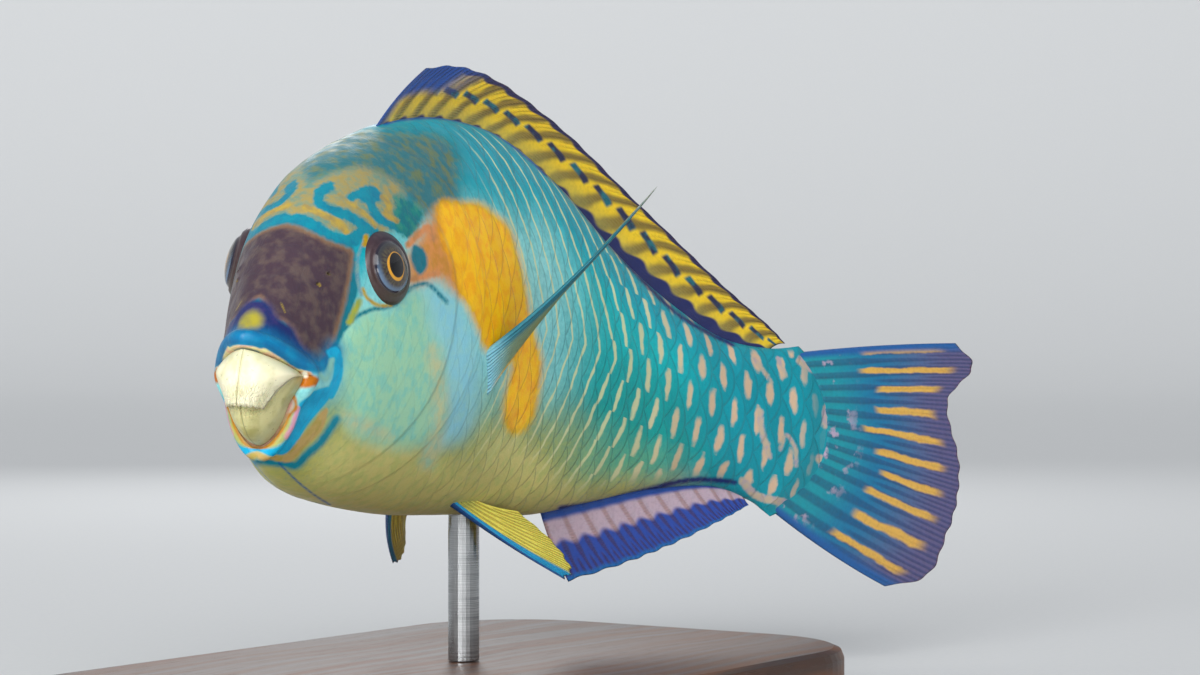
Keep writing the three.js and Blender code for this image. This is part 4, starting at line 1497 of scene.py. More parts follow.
TAIL_KEYS = FinKeys(
    (0, 0.07, 0.27, 0.5, 0.75, 0.93, 1),
    (
        (221.5, 17.6, 0), (224.6, 15, 0), (230.4, 7.6, 0), (233, -1.3, 0), (229.6, -10.4, 0),
        (219.6, -18.6, 0), (215.8, -20.8, 0),
    ),
    (
        (250, 23.9, -0.6), (254, 20.5, -0.4), (254, 10.2, 0.6), (257, -3.2, 0.8), (253, -16.8, 0.2),
        (245, -29, -0.8), (238, -31.6, -1),
    ),
    (
        (279.5, 28, -2.5), (285.2, 24.4, -2), (274.8, 11.8, 1.2), (279.9, -4.9, 1.6), (278.2, -22.6, 0.2),
        (270.8, -35.6, -2.2), (260.4, -37.8, -3),
    ),
)
LEFT_PECTORAL_KEYS = FinKeys(
    (0, 0.3, 0.65, 1),
    ((85, -1.2, 19.6), (86.3, -4, 19.6), (88, -7, 19.4), (90, -10, 19.2)),
    ((98.5, 13.6, 33), (103.5, 14.4, 30.6), (106, 13.6, 27.2), (99.5, 5.6, 23.4)),
    ((114.1, 39.5, 47), (122.5, 40.6, 42.6), (122.6, 33.4, 35), (115, 20, 27.2)),
)
RIGHT_PECTORAL_KEYS = FinKeys(
    (0, 0.3, 0.65, 1),
    ((85, -1.2, -19.6), (86.3, -4, -19.6), (88, -7, -19.4), (90, -10, -19.2)),
    ((107, 2.5, -27), (106, -3, -27), (103, -10, -26), (97.5, -15, -23.5)),
    ((134, 6, -28.5), (133, -5, -28), (124, -16, -26.5), (107, -22, -23)),
)
LEFT_PELVIC_KEYS = FinKeys(
    (0, 0.25, 0.65, 1),
    ((99, -31.5, 7.4), (101, -31.2, 7.4), (104.5, -30.6, 7.4), (108, -30, 7.2)),
    ((118, -39.5, 12.5), (120, -38.5, 12), (121, -34.8, 10.5), (116, -31.4, 9)),
    ((138.3, -45.6, 15), (142.4, -43.6, 14), (137.5, -36.9, 11), (126, -31.2, 9.2)),
)
RIGHT_PELVIC_KEYS = FinKeys(
    (0, 0.25, 0.65, 1),
    ((99, -31.5, -7.4), (101, -31.2, -7.4), (104.5, -30.6, -7.4), (108, -30, -7.2)),
    ((113, -38, -17), (114.5, -37.6, -17.4), (115.5, -35.8, -15.6), (113, -33, -12.2)),
    ((130, -44, -30), (131.5, -43.4, -29.6), (128, -39.6, -24.6), (119.5, -35, -17.6)),
)


# Eyes


@dataclass
class Eye:
    """An eye: a low dome on the head with a clear bulge over the iris. Sizes are in mm."""

    side: Side
    s: float = 38.0
    h: float = 10.4
    radius: float = 7.6
    depth: float = 3.6
    sunk: float = 0.8
    segments: int = 120
    rings: int = 80
    iris_px: tuple = (395.8, 266.9)
    iris_radius: float = 5.2
    iris_turn: float = math.radians(16.5)
    bulge: float = 0.45
    groove_depth: float = 0.22
    groove_out: float = 0.15
    groove_reach: float = 0.7
    gaze_s: float = 40.0
    gaze_h: float = 10.0
    gaze_step: float = 10.0
    hidden: float = 9.0

    def iris_vertex(self, ball: Array) -> int:
        """Find the middle of the iris, read on the left eye for both.

        Args:
            ball: The vertices of a ball of radius 1.

        Returns:
            The number of the vertex.
        """
        point, normal = skin_at(self.s, self.h, Side.LEFT)
        up = unit(np.array([0.0, 0.0, 1.0]) - normal * normal[2])
        flat = self.radius * (ball[:, :1] * np.cross(up, normal) + ball[:, 1:2] * up)
        seen = PHOTO.pixels(point - normal * self.sunk + flat + self.depth * ball[:, 2:] * normal)
        apart = np.hypot(*(seen - np.array(self.iris_px)).T)
        return int(np.argmin(np.where(ball[:, 2] > 0, apart, np.inf)))

    def gaze(self) -> Array:
        """Find the direction that the iris faces: out to the side, and turned a little forwards.

        Returns:
            The direction in the room, at length 1.
        """
        here = np.array([self.gaze_s, self.gaze_h, 0.0])
        aside = here + np.array([0.0, 0.0, self.side.value * self.gaze_step])
        ahead = here - np.array([self.gaze_step, 0.0, 0.0])
        out = unit(SWIM.place(aside) - SWIM.place(here))
        front = unit(SWIM.place(ahead) - SWIM.place(here))
        return math.cos(self.iris_turn) * out + math.sin(self.iris_turn) * front

    def build(self) -> bpy.types.Object:
        """Model the eye, and keep each point's place in the iris on it.

        Returns:
            The piece.
        """
        sign = self.side.value
        point, normal = skin_at(self.s, self.h, self.side)
        centre = point - normal * self.sunk
        deselect_all()
        bpy.ops.mesh.primitive_uv_sphere_add(segments=self.segments, ring_count=self.rings, radius=1.0)
        piece = bpy.context.active_object
        piece.name = "left_eye_dome" if self.side is Side.LEFT else "right_eye_dome"
        flat = np.empty(len(piece.data.vertices) * 3)
        piece.data.vertices.foreach_get("co", flat)
        ball = flat.reshape(-1, 3)
        up = unit(np.array([0.0, 0.0, 1.0]) - normal * normal[2])
        back = np.cross(up, normal) * sign
        flat = self.radius * (ball[:, :1] * back + ball[:, 1:2] * up)
        room = centre + flat + self.depth * ball[:, 2:] * normal
        axis = self.gaze()
        away = room - room[self.iris_vertex(ball)]
        flat_away = away - (away @ axis)[:, None] * axis
        apart = np.linalg.norm(flat_away, axis=1)
        outer = ball[:, 2] > 0
        swell = self.bulge * np.sqrt(np.clip(1 - (apart / self.iris_radius) ** 2, 0, 1))
        groove = self.groove_depth * bump(apart, self.iris_radius + self.groove_out, self.groove_reach)
        rise = unit(np.array([0, 0, 1.0]) - axis * axis[2])
        across = flat_away @ np.cross(rise, axis) * sign
        set_points(piece, room + axis * ((swell - groove) * outer)[:, None])
        set_field(piece, "iris", np.stack([across, flat_away @ rise, np.where(outer, 0.0, self.hidden)], -1))
        close_piece(piece)
        return piece


# Beak


@dataclass
class BeakPlate:
    """One fused tooth plate of the beak, a shell over the mouth that ends in the biting edge. In mm."""

    upper: bool
    front: float
    inset: float = 0.45
    dome_drop: float = 0.5
    edge_height: float = -22.3
    edge_rise: float = 7.7
    edge_flat: float = 4.4
    half_width: float = 8.7
    root_back: float = 2.2
    thick: float = 1.5
    tuck: float = 0.9
    teeth: int = 15
    tooth_rise: float = 0.32
    tooth_base: float = 0.2
    lower_share: float = 0.6
    suture_depth: float = 0.3
    suture_width: float = 0.28
    swell_rise: float = 0.16
    swell_base: float = 0.4
    sharp: float = math.radians(50)
    around: int = 360
    columns: int = 180
    rows: int = 60

    def edge(self, w: Array) -> Array:
        """Return the height of the biting edge at w."""
        return self.edge_height + self.edge_rise * smoothstep(np.abs(w), self.edge_flat, self.half_width)

    def lips(self, angle: Array) -> tuple[Array, Array, Array]:
        """Find the line that the plate grows from, a little inside the lips.

        Args:
            angle: The ways round the mouth.

        Returns:
            Its s, h and w, with h from the middle of the dome.
        """
        rim = body_point(RIM, angle)
        scale = 1 - self.inset / self.half_width
        from_middle = rim[:, 1] - (MOUTH_H - self.dome_drop)
        return MOUTH_S + (rim[:, 0] - MOUTH_S) * scale, from_middle * scale, rim[:, 2] * scale

    def dome(self, w: Array, h: Array) -> Array:
        """Find points of the beak's dome over the mouth.

        Args:
            w: How far left each point lies.
            h: How high it lies.

        Returns:
            The points in fish space.
        """
        rim_s, rim_h, rim_w = self.lips(np.linspace(-math.pi, math.pi, 2 * self.around + 1))
        heading = np.arctan2(rim_w, rim_h)
        order = np.argsort(heading)
        up = h - (MOUTH_H - self.dome_drop)
        way = np.arctan2(w, up)
        reach = np.interp(way, heading[order], np.hypot(rim_w, rim_h)[order], period=2 * math.pi)
        level = np.interp(way, heading[order], rim_s[order], period=2 * math.pi)
        share = np.clip(np.hypot(w, up) / reach, 0, 1)
        s = level + (self.front - level) * np.sqrt(1 - share**2)
        return np.stack([s, h, w], -1)

    def rim_line(self, p: Array) -> Array:
        """Follow the lip that the plate grows from.

        Args:
            p: The way along it, from -1 to 1.

        Returns:
            The points as (w, h).
        """
        angle = np.linspace(0, math.pi, self.around + 1)
        _, from_middle, w = self.lips(angle)
        h = MOUTH_H - self.dome_drop + from_middle
        above = h > self.edge(w)
        corner = angle[above].max() if self.upper else angle[~above].min()
        start = 0.0 if self.upper else math.pi
        at = start + (corner - start) * np.abs(p)
        return np.stack([np.interp(at, angle, w) * np.sign(p), np.interp(at, angle, h)], -1)

    def build(self) -> bpy.types.Object:
        """Model the plate.

        Returns:
            The piece.
        """
        name = "upper_beak_plate" if self.upper else "lower_beak_plate"
        piece, column, row = new_sheet(name, self.columns, 2 * self.rows)
        p = 2 * column / self.columns - 1
        share = row / self.rows - 1.0
        q = 1 - np.abs(share)
        root = self.rim_line(p)
        corner = self.rim_line(np.array([1.0]))[0]
        edge_w = p * corner[0]
        serration = np.abs(np.sin(math.pi * self.teeth * p / 2)) ** 0.7
        gap = 0.0 if self.upper else self.tuck * (1 - np.abs(p) ** 4)
        tooth = (self.tooth_rise * serration - self.tooth_base) * (1 - np.abs(p) ** 8)
        edge_h = self.edge(edge_w) + gap + tooth * (-1 if self.upper else self.lower_share)
        w = root[:, 0] + (edge_w - root[:, 0]) * q
        h = root[:, 1] + (edge_h - root[:, 1]) * q
        points = self.dome(w, h)
        suture = -self.suture_depth * np.exp(-((w / self.suture_width) ** 2)) * (q > 0.02)
        swell = self.swell_rise * (serration - self.swell_base) * smoothstep(q, 0.55, 0.95)
        closing = np.sqrt(np.clip(1 - np.abs(p) ** 16, 0, 1))
        depth = (self.thick + self.root_back * (1 - q)) * closing * np.sqrt(np.clip(1 - q**6, 0, 1))
        front = share < 0
        points[:, 0] += np.where(front, -(suture + swell) * closing, depth)
        ends = np.abs(share) > 1 - TINY
        end_back = (self.thick + self.root_back) * 0.5 * closing
        points[:, 0] += np.where(ends, end_back - np.where(front, 0, depth), 0)
        set_points(piece, SWIM.place(draw_jaw(points)))
        set_field(piece, "plate", np.stack([p, q, np.where(front, 0.0, 1.0)], -1))
        close_piece(piece, self.sharp)
        return piece


# The finish of each part


@dataclass(frozen=True)
class SkinFinish:
    """The scaly skin: the body's colours, the dashes on the scale rows and the painted marks."""

    effects: Effects

    def flank(self, paint: Finish, along: Socket, upright: Socket) -> Socket:
        """Paint the body's own colours from belly to back, before any mark.

        Args:
            paint: The material being made.
            along: Distance along the spine, in mm.
            upright: 1 on the back and -1 on the belly.

        Returns:
            The colour.
        """
        drift = paint.add(upright, paint.wander(60.0, 3.0, 0.25))
        low = paint.mix(paint.span(drift, -0.98, -0.7), "c3c07c", "6fae8e")
        low = paint.mix(paint.span(drift, -0.75, -0.35), low, "2a9c98")
        middle = paint.mix(paint.span(drift, -0.35, 0.15), low, "4bb4b6")
        upper = paint.mix(paint.span(drift, 0.2, 0.75), middle, "109cae")
        pale = paint.times(paint.span(along, 150.0, 112.0), paint.span(paint.apart(drift, 0.05), 0.75, 0.25))
        upper = paint.mix(pale, upper, "9cd8d8")
        rear = paint.mix(paint.span(along, 165.0, 205.0), upper, "0d8f9f")
        olive = paint.times(paint.span(along, 165.0, 120.0), paint.span(drift, -0.2, -0.75))
        rear = paint.mix(olive, rear, "b2b26c")
        grain = paint.use(self.effects.speckle, Scale=900.0, Low=0.35, High=0.75).outputs["Mask"]
        return paint.mix(paint.times(grain, 0.28), rear, "0f7f8e")

    def dashes(self, paint: Finish, base: Socket, along: Socket, upright: Socket, lattice: Socket) -> Socket:
        """Lay the pale dashes over the body's colours.

        Args:
            paint: The material being made.
            base: The body's colours.
            along: Distance along the spine, in mm.
            upright: 1 on the back and -1 on the belly.
            lattice: The scale lattice.

        Returns:
            The colour.
        """
        fade = paint.span(along, 84.0, 100.0)
        slant = paint.span(along, 176.0, 140.0, 0.0, 0.5)
        width = paint.span(along, 120.0, 190.0, 0.075, 0.16)
        length = paint.span(along, 140.0, 190.0, 0.8, 0.46)
        dash = paint.use(self.effects.row_dashes, Lattice=lattice, Width=width, Length=length, Slant=slant)
        edges = paint.times(paint.span(upright, 1.0, 0.9), paint.span(upright, -0.96, -0.8))
        share = paint.times(paint.times(dash.outputs["Mask"], fade), edges)
        colour = paint.mix(paint.span(along, 150.0, 195.0), "d6d9ae", "d9b79a")
        return paint.mix(paint.times(share, paint.span(along, 232.0, 220.0, 0.1, 0.85)), base, colour)

    def marks(self, paint: Finish, base: Socket) -> Socket:
        """Lay the painted marks over the body in their order, each with its border below it.

        Args:
            paint: The material being made.
            base: The body with its dashes.

        Returns:
            The colour.
        """
        colour = base
        fleck = paint.use(self.effects.speckle, Scale=420.0, Low=0.4, High=0.68).outputs["Mask"]
        rough = paint.less(paint.noise(900.0, 3.0), 0.5)
        for mark in MARKS:
            distance = paint.field("mark_" + mark.name).outputs["Fac"]
            shape = {"Distance": distance, "Softness": mark.soft, "Wobble": mark.wobble, "Rough": rough}
            if mark.border:
                rim = paint.use(self.effects.mark_edge, Grow=1.0, **shape)
                colour = paint.mix(rim.outputs["Mask"], colour, mark.border)
            edge = paint.use(self.effects.mark_edge, **shape)
            colour = paint.mix(edge.outputs["Mask"], colour, paint.mix(fleck, mark.colour, mark.fleck))
        return colour

    def build(self) -> bpy.types.Material:
        """Make the skin's material.

        Returns:
            The material.
        """
        plain = {"Roughness": 0.42, "Specular_IOR_Level": 0.3}
        paint = Finish("scaly_skin", Subsurface_Weight=0.06, Subsurface_Scale=0.002, **plain)
        along = paint.split(paint.field("fish").outputs["Vector"])[0]
        lattice = paint.field("lattice").outputs["Vector"]
        upright = paint.split(lattice)[2]
        colour = self.flank(paint, along, upright)
        colour = self.dashes(paint, colour, along, upright, lattice)
        rows = paint.use(self.effects.scale_rows, Lattice=lattice)
        colour = self.marks(paint, colour)
        scaly = paint.span(along, 60.0, 100.0, 0.25, 1.0)
        rim_share = paint.span(along, 100.0, 150.0, 0.02, 0.11)
        rim_shade = paint.times(paint.span(rows.outputs["Near"], 0.16, 0.0), rim_share)
        colour = paint.mix(rim_shade, colour, "24545c")
        tone = paint.times(paint.less(rows.outputs["Tone"], 0.5), 0.16)
        value = paint.node("HueSaturation")
        value.inputs["Saturation"].default_value = 1.16
        paint.feed(value.inputs["Color"], colour)
        paint.feed(value.inputs["Value"], paint.add(1.0, paint.times(tone, scaly)))
        # Painted shade: the sunk nostril pits are darkened nearly to black, as if in shadow.
        pit_shade = paint.span(paint.field("pit_shade").outputs["Fac"], 0.0, 1.0)
        colour = paint.mix(pit_shade, value.outputs["Color"], "120c10")
        pores = paint.times(paint.noise(1400.0, 3.0), 0.22)
        scales = paint.times(paint.times(rows.outputs["Height"], scaly), 0.45)
        sheen = paint.span(paint.noise(300.0, 3.0), 0.3, 0.7, 0.34, 0.52)
        paint.wear(Base_Color=colour, Roughness=sheen, Normal=paint.bump(paint.add(scales, pores), 0.3))
        return paint.material


class FinPattern(Enum):
    """How each fin is coloured."""

    DORSAL = "dorsal"
    ANAL = "anal"
    TAIL = "tail"
    PECTORAL = "pectoral"
    PELVIC = "pelvic"


@dataclass(frozen=True)
class Blade:
    """What a fin's pattern reads: the count of rays, the way out and along, and the rays' masks."""

    phase: Socket
    reach: Socket
    along: Socket
    crest: Socket
    branch: Socket


@dataclass(frozen=True)
class FinFinish:
    """A fin's membrane and rays, coloured by its pattern."""

    pattern: FinPattern
    effects: Effects
    streaks_per_ray: float = 10 / 14
    first_streak: float = 0.25

    def dorsal(self, paint: Finish, blade: Blade) -> Socket:
        """Paint golden bands between brown rays, a row of dark blotches, and a violet margin.

        Args:
            paint: The material being made.
            blade: What the pattern reads.

        Returns:
            The colour.
        """
        wave = paint.wander(130.0, 2.0, 0.5)
        band = paint.apart(paint.fraction(paint.add(blade.phase, wave)), 0.5)
        colour = paint.mix(paint.span(band, 0.12, 0.42), "e2bf24", "836e2e")
        colour = paint.mix(paint.times(paint.span(blade.reach, 0.45, 0.1), 0.45), colour, "a3a05a")
        leaning = paint.add(blade.phase, paint.times(blade.reach, 1.2))
        shifted = paint.less(paint.fraction(leaning), 0.5)
        blotch_end = paint.rest(paint.span(paint.size(shifted), 0.34, 0.5))
        level = paint.add(0.52, paint.times(shifted, -0.12))
        off = paint.apart(paint.add(blade.reach, paint.times(wave, 0.08)), level)
        blotch = paint.times(paint.rest(paint.span(off, 0.03, 0.08)), blotch_end)
        dark = paint.mix(paint.span(paint.noise(240.0, 2.0), 0.45, 0.6), "252a4a", "1c6572")
        colour = paint.mix(paint.times(blotch, paint.span(blade.along, 0.08, 0.16)), colour, dark)
        scallop = paint.add(0.9, paint.times(blade.crest, 0.04))
        colour = paint.mix(paint.span(blade.reach, paint.less(scallop, 0.05), scallop), colour, "2c2850")
        root = paint.less(paint.span(blade.along, 0.45, 0.75, 0.16, 0.3), paint.times(blade.crest, 0.08))
        colour = paint.mix(paint.span(blade.reach, root, paint.less(root, 0.05)), colour, "232a5c")
        lobe = paint.times(paint.span(blade.along, 0.2, 0.1), paint.span(blade.reach, 0.38, 0.6))
        colour = paint.mix(lobe, colour, "1d4a96")
        return paint.mix(paint.span(blade.along, 0.045, 0.0), colour, "2a4c8c")

    def anal(self, paint: Finish, blade: Blade) -> Socket:
        """Paint a blue root, a mauve stripe with brown rays, and a broad blue outer half.

        Args:
            paint: The material being made.
            blade: What the pattern reads.

        Returns:
            The colour.
        """
        colour = paint.mix(paint.span(blade.crest, 0.72, 1.0), "bba6b4", "a88c90")
        colour = paint.mix(paint.span(blade.reach, 0.22, 0.14), colour, "1d4a9c")
        outer = paint.mix(paint.span(blade.branch, 0.3, 0.9), "2a4aa4", "3a3a78")
        ragged = paint.add(blade.reach, paint.times(blade.crest, -0.06))
        colour = paint.mix(paint.span(ragged, 0.4, 0.5), colour, outer)
        return paint.mix(paint.span(blade.reach, 0.9, 0.98), colour, "1d6db4")

    def tail(self, paint: Finish, blade: Blade) -> Socket:
        """Paint deep blue with orange-yellow streaks between the rays, and a violet-grey web near the tips.

        Args:
            paint: The material being made.
            blade: What the pattern reads.

        Returns:
            The colour.
        """
        base = paint.mix(paint.span(blade.reach, 0.1, 0.45), "178f9c", "156f98")
        base = paint.mix(paint.span(blade.reach, 0.4, 0.9), base, "5d5880")
        base = paint.mix(paint.times(paint.span(blade.branch, 0.2, 0.8), 0.5), base, "1c3264")
        moved = paint.add(blade.phase, paint.wander(90.0, 2.0, 0.4))
        run = paint.fraction(paint.add(paint.times(moved, self.streaks_per_ray), self.first_streak))
        ragged = paint.add(paint.apart(run, 0.5), paint.wander(330.0, 2.0, 0.14))
        streak = paint.rest(paint.span(ragged, 0.09, 0.2))
        number = paint.node("TexWhiteNoise", noise_dimensions="1D")
        count = paint.add(paint.times(blade.phase, self.streaks_per_ray), self.first_streak)
        paint.feed(number.inputs["W"], paint.math("FLOOR", count))
        start = paint.add(0.26, paint.times(number.outputs["Value"], 0.16))
        begun = paint.span(blade.reach, start, paint.add(start, 0.07))
        ends = paint.times(begun, paint.span(blade.reach, 0.93, 0.82))
        colour = paint.mix(paint.times(streak, ends), base, "d2a54e")
        speck = paint.use(self.effects.speckle, Scale=260.0, Low=0.56, High=0.66).outputs["Mask"]
        foot = paint.times(speck, paint.span(blade.reach, 0.34, 0.12))
        colour = paint.mix(foot, colour, "a99ab0")
        edge = paint.times(paint.apart(blade.along, 0.5), 2.0)
        return paint.mix(paint.span(edge, 0.9, 0.97), colour, "1c5a9a")

    def pectoral(self, paint: Finish, blade: Blade) -> Socket:
        """Paint a dark teal leading blade with a yellow-orange trailing edge and an olive tip.

        Args:
            paint: The material being made.
            blade: What the pattern reads.

        Returns:
            The colour.
        """
        colour = paint.mix(paint.span(blade.branch, 0.2, 0.9), "4f8f8c", "8f9050")
        colour = paint.mix(paint.span(blade.along, 0.3, 0.12), colour, "1c7384")
        colour = paint.mix(paint.span(blade.along, 0.8, 0.95), colour, "d9a234")
        colour = paint.mix(paint.span(blade.reach, 0.2, 0.02), colour, "7fbfd0")
        return paint.mix(paint.span(blade.reach, 0.82, 0.98), colour, "8a9484")

    def pelvic(self, paint: Finish, blade: Blade) -> Socket:
        """Paint lemon yellow with fine rays, an azure leading edge and an olive root.

        Args:
            paint: The material being made.
            blade: What the pattern reads.

        Returns:
            The colour.
        """
        colour = paint.mix(paint.span(blade.branch, 0.15, 0.85), "efe25e", "c9b545")
        colour = paint.mix(paint.span(blade.reach, 0.25, 0.0), colour, "a3a552")
        leading = paint.span(blade.along, 0.24, 0.15)
        colour = paint.mix(leading, colour, "1c9cd0")
        return paint.mix(paint.times(leading, paint.span(blade.along, 0.05, 0.02)), colour, "20508c")

    def build(self) -> bpy.types.Material:
        """Make the pattern's material.

        Returns:
            The material.
        """
        name = self.pattern.value + "_membrane"
        paint = Finish(name, Specular_IOR_Level=0.4, Subsurface_Weight=0.15, Subsurface_Scale=0.001)
        vector = paint.field("blade").outputs["Vector"]
        rays = paint.use(self.effects.fin_rays, Blade=vector)
        blade = Blade(*paint.split(vector), rays.outputs["Crest"], rays.outputs["Branch"])
        patterns = {
            FinPattern.DORSAL: self.dorsal,
            FinPattern.ANAL: self.anal,
            FinPattern.TAIL: self.tail,
            FinPattern.PECTORAL: self.pectoral,
            FinPattern.PELVIC: self.pelvic,
        }
        colour = patterns[self.pattern](paint, blade)
        grain = paint.use(self.effects.speckle, Scale=1100.0, Low=0.4, High=0.7).outputs["Mask"]
        colour = paint.mix(paint.times(grain, 0.12), colour, "20242c")
        rough = paint.span(blade.branch, 0.0, 1.0, 0.36, 0.5)
        height = paint.add(rays.outputs["Height"], paint.times(paint.noise(1600.0, 2.0), 0.2))
        paint.wear(Base_Color=colour, Roughness=rough, Normal=paint.bump(height, 0.22))
        return paint.material


@dataclass(frozen=True)
class EyeFinish:
    """The eye: a black pupil in a gold ring, a brown-olive iris, and a purple-brown dome round it. In mm."""

    effects: Effects
    pupil: float = 2.5
    pupil_up: float = 0.35
    pupil_narrow: float = 1.12
    gold: float = 0.16
    iris: float = 5.1

    def dome(self, paint: Finish, across: Socket, upward: Socket) -> Socket:
        """Paint the dome round the iris.

        Args:
            paint: The material being made.
            across: How far forward of the iris's middle a point lies, in mm.
            upward: The way up the eye, from 0 to 1.

        Returns:
            The colour.
        """
        colour = paint.mix(upward, "3b3426", "251b2c")
        colour = paint.mix(paint.times(paint.span(across, 2.0, -6.0), 0.6), colour, "3c2223")
        grain = paint.use(self.effects.speckle, Scale=900.0, Low=0.4, High=0.7).outputs["Mask"]
        return paint.mix(paint.times(grain, 0.3), colour, "4a3c40")

    def build(self) -> bpy.types.Material:
        """Make the eye's material.

        Returns:
            The material.
        """
        paint = Finish("eye_surface", Coat_Roughness=0.03, Specular_IOR_Level=0.5)
        across, up, _ = paint.split(paint.field("iris").outputs["Vector"])
        apart = paint.length(across, up)
        inner = paint.length(paint.times(across, self.pupil_narrow), paint.less(up, self.pupil_up))
        upward = paint.span(up, -6.0, 6.0)
        # The outer ring is partly its own blue-grey silver and partly a painted highlight, paler on its lower
        # side.
        ring = paint.mix(paint.span(upward, 0.2, 0.8), "586e88", "2e3034")
        spokes = paint.join(paint.math("ARCTAN2", across, up), paint.times(apart, 0.12), 0.0)
        streaks = paint.noise(9.0, 3.0, spokes)
        iris = paint.mix(paint.span(streaks, 0.35, 0.65), "33292a", "4c4634")
        iris = paint.mix(paint.span(apart, 3.6, 4.7), iris, ring)
        outline = paint.times(paint.span(apart, 4.75, 4.95), paint.span(apart, 5.25, 5.05))
        iris = paint.mix(outline, iris, "1a1626")
        wider = paint.times(paint.span(paint.add(across, up), 1.5, -2.5), 0.5)
        gold = paint.add(self.pupil + self.gold, wider)
        dome = self.dome(paint, across, upward)
        colour = paint.mix(paint.span(apart, self.iris + 0.1, self.iris - 0.05), dome, iris)
        in_gold = paint.span(inner, paint.add(gold, 0.12), paint.less(gold, 0.1))
        colour = paint.mix(in_gold, colour, "d2962c")
        colour = paint.mix(paint.span(inner, self.pupil + 0.1, self.pupil - 0.1), colour, "06050a")
        rough = paint.span(apart, self.iris - 0.2, self.iris + 0.3, 0.06, 0.38)
        coat = paint.span(apart, self.iris + 0.3, self.iris - 0.2, 0.1, 0.35)
        paint.wear(Base_Color=colour, Roughness=rough, Coat_Weight=coat)
        return paint.material


@dataclass(frozen=True)
class BeakFinish:
    """Beak enamel: cream above and olive-cream below, with faint tooth tiles, small stains, and painted shade
    along the biting edge.
    """

    effects: Effects
    upper: bool

    def build(self) -> bpy.types.Material:
        """Make the plate's material.

        Returns:
            The material.
        """
        name = "upper_beak_enamel" if self.upper else "lower_beak_enamel"
        paint = Finish(name, Specular_IOR_Level=0.5, Subsurface_Weight=0.1, Subsurface_Scale=0.001)
        across, down, _ = paint.split(paint.field("plate").outputs["Vector"])
        body = "efe9c6" if self.upper else "d6cf94"
        shade = "d2cda0" if self.upper else "b3ad6c"
        stain = paint.span(paint.noise(260.0, 3.0), 0.4, 0.7)
        colour = paint.mix(stain, body, shade)
        colour = paint.mix(paint.times(paint.span(down, 0.25, 0.0), 0.55), colour, "a9b08e")
        # Painted shade: the biting edge darkens where the two plates meet.
        colour = paint.mix(paint.times(paint.span(down, 0.93, 1.0), 0.6), colour, "7a6f4a")
        seam = paint.span(paint.size(across), 0.03, 0.005)
        colour = paint.mix(paint.times(seam, 0.6), colour, "7c7a50")
        corner = paint.span(paint.size(across), 0.75, 1.0)
        colour = paint.mix(paint.times(corner, 0.45), colour, "a08a58")
        specks = paint.use(self.effects.speckle, Scale=1500.0, Low=0.66, High=0.72).outputs["Mask"]
        colour = paint.mix(paint.times(specks, 0.45), colour, "6f6a46")
        tiles = paint.node("TexVoronoi", feature="DISTANCE_TO_EDGE")
        tiles.inputs["Scale"].default_value = 1.0
        spread = paint.join(paint.times(across, 17.0), paint.times(down, 11.0), 0.0)
        paint.feed(tiles.inputs["Vector"], spread)
        cell = paint.times(paint.span(tiles.outputs["Distance"], 0.0, 0.16), paint.span(down, 0.35, 0.75))
        height = paint.add(cell, paint.times(paint.noise(1300.0, 3.0), 0.5))
        rough = paint.span(paint.noise(500.0, 2.0), 0.3, 0.7, 0.3, 0.5)
        paint.wear(Base_Color=colour, Roughness=rough, Normal=paint.bump(height, 0.1))
        return paint.material


@dataclass(frozen=True)
class WoodFinish:
    """Oiled walnut, with its grain along the base."""

    grain: tuple = (8.0, 260.0, 180.0)
    pores: tuple = (120.0, 2600.0, 2600.0)

    def build(self) -> bpy.types.Material:
        """Make the wood's material.

        Returns:
            The material.
        """
        paint = Finish("oiled_walnut", Specular_IOR_Level=0.4, Coat_Roughness=0.25)
        x, y, z = paint.split(paint.place())
        warp = paint.times(paint.noise(9.0, 2.0), 0.03)
        rings = paint.stretched(self.grain, 6.0, (x, paint.add(y, warp), z))
        colour = paint.mix(paint.span(rings, 0.3, 0.7), "3c2418", "6d452c")
        pores = paint.stretched(self.pores, 2.0, (x, y, z))
        colour = paint.mix(paint.times(paint.span(pores, 0.62, 0.72), 0.55), colour, "20130c")
        height = paint.less(paint.times(rings, 0.5), paint.span(pores, 0.6, 0.75))
        rough = paint.span(rings, 0.3, 0.7, 0.36, 0.5)
        paint.wear(Base_Color=colour, Roughness=rough, Normal=paint.bump(height, 0.06))
        return paint.material


@dataclass(frozen=True)
class SteelFinish:
    """Brushed steel, with its lines running round the rod."""

    lines: tuple = (60.0, 60.0, 6000.0)

    def build(self) -> bpy.types.Material:
        """Make the steel's material.

        Returns:
            The material.
        """
        paint = Finish("brushed_steel", Metallic=1.0)
        lines = paint.stretched(self.lines, 3.0, paint.split(paint.place()))
        colour = paint.mix(paint.span(lines, 0.3, 0.7), "8f9294", "c3c5c6")
        smudge = paint.span(paint.noise(120.0, 3.0), 0.4, 0.7, 0.26, 0.4)
        paint.wear(Base_Color=colour, Roughness=smudge, Normal=paint.bump(lines, 0.02))
        return paint.material


@dataclass(frozen=True)
class PaperFinish:
    """The plain pale studio paper."""

    fibres: float = 500.0

    def build(self) -> bpy.types.Material:
        """Make the paper's material.

        Returns:
            The material.
        """
        paint = Finish("studio_paper", Roughness=0.9, Specular_IOR_Level=0.2)
        fibre = paint.noise(self.fibres, 3.0)
        paint.wear(Base_Color=paint.mix(fibre, "cdcfd0", "d3d4d4"), Normal=paint.bump(fibre, 0.05))
        return paint.material


def set_material(piece: bpy.types.Object, material: bpy.types.Material) -> None:
    """Give the piece one material only.

    Args:
        piece: The object.
        material: What it wears.
    """
    if not piece.material_slots:
        piece.data.materials.append(material)
    for slot in piece.material_slots:
        slot.material = material


# Studio


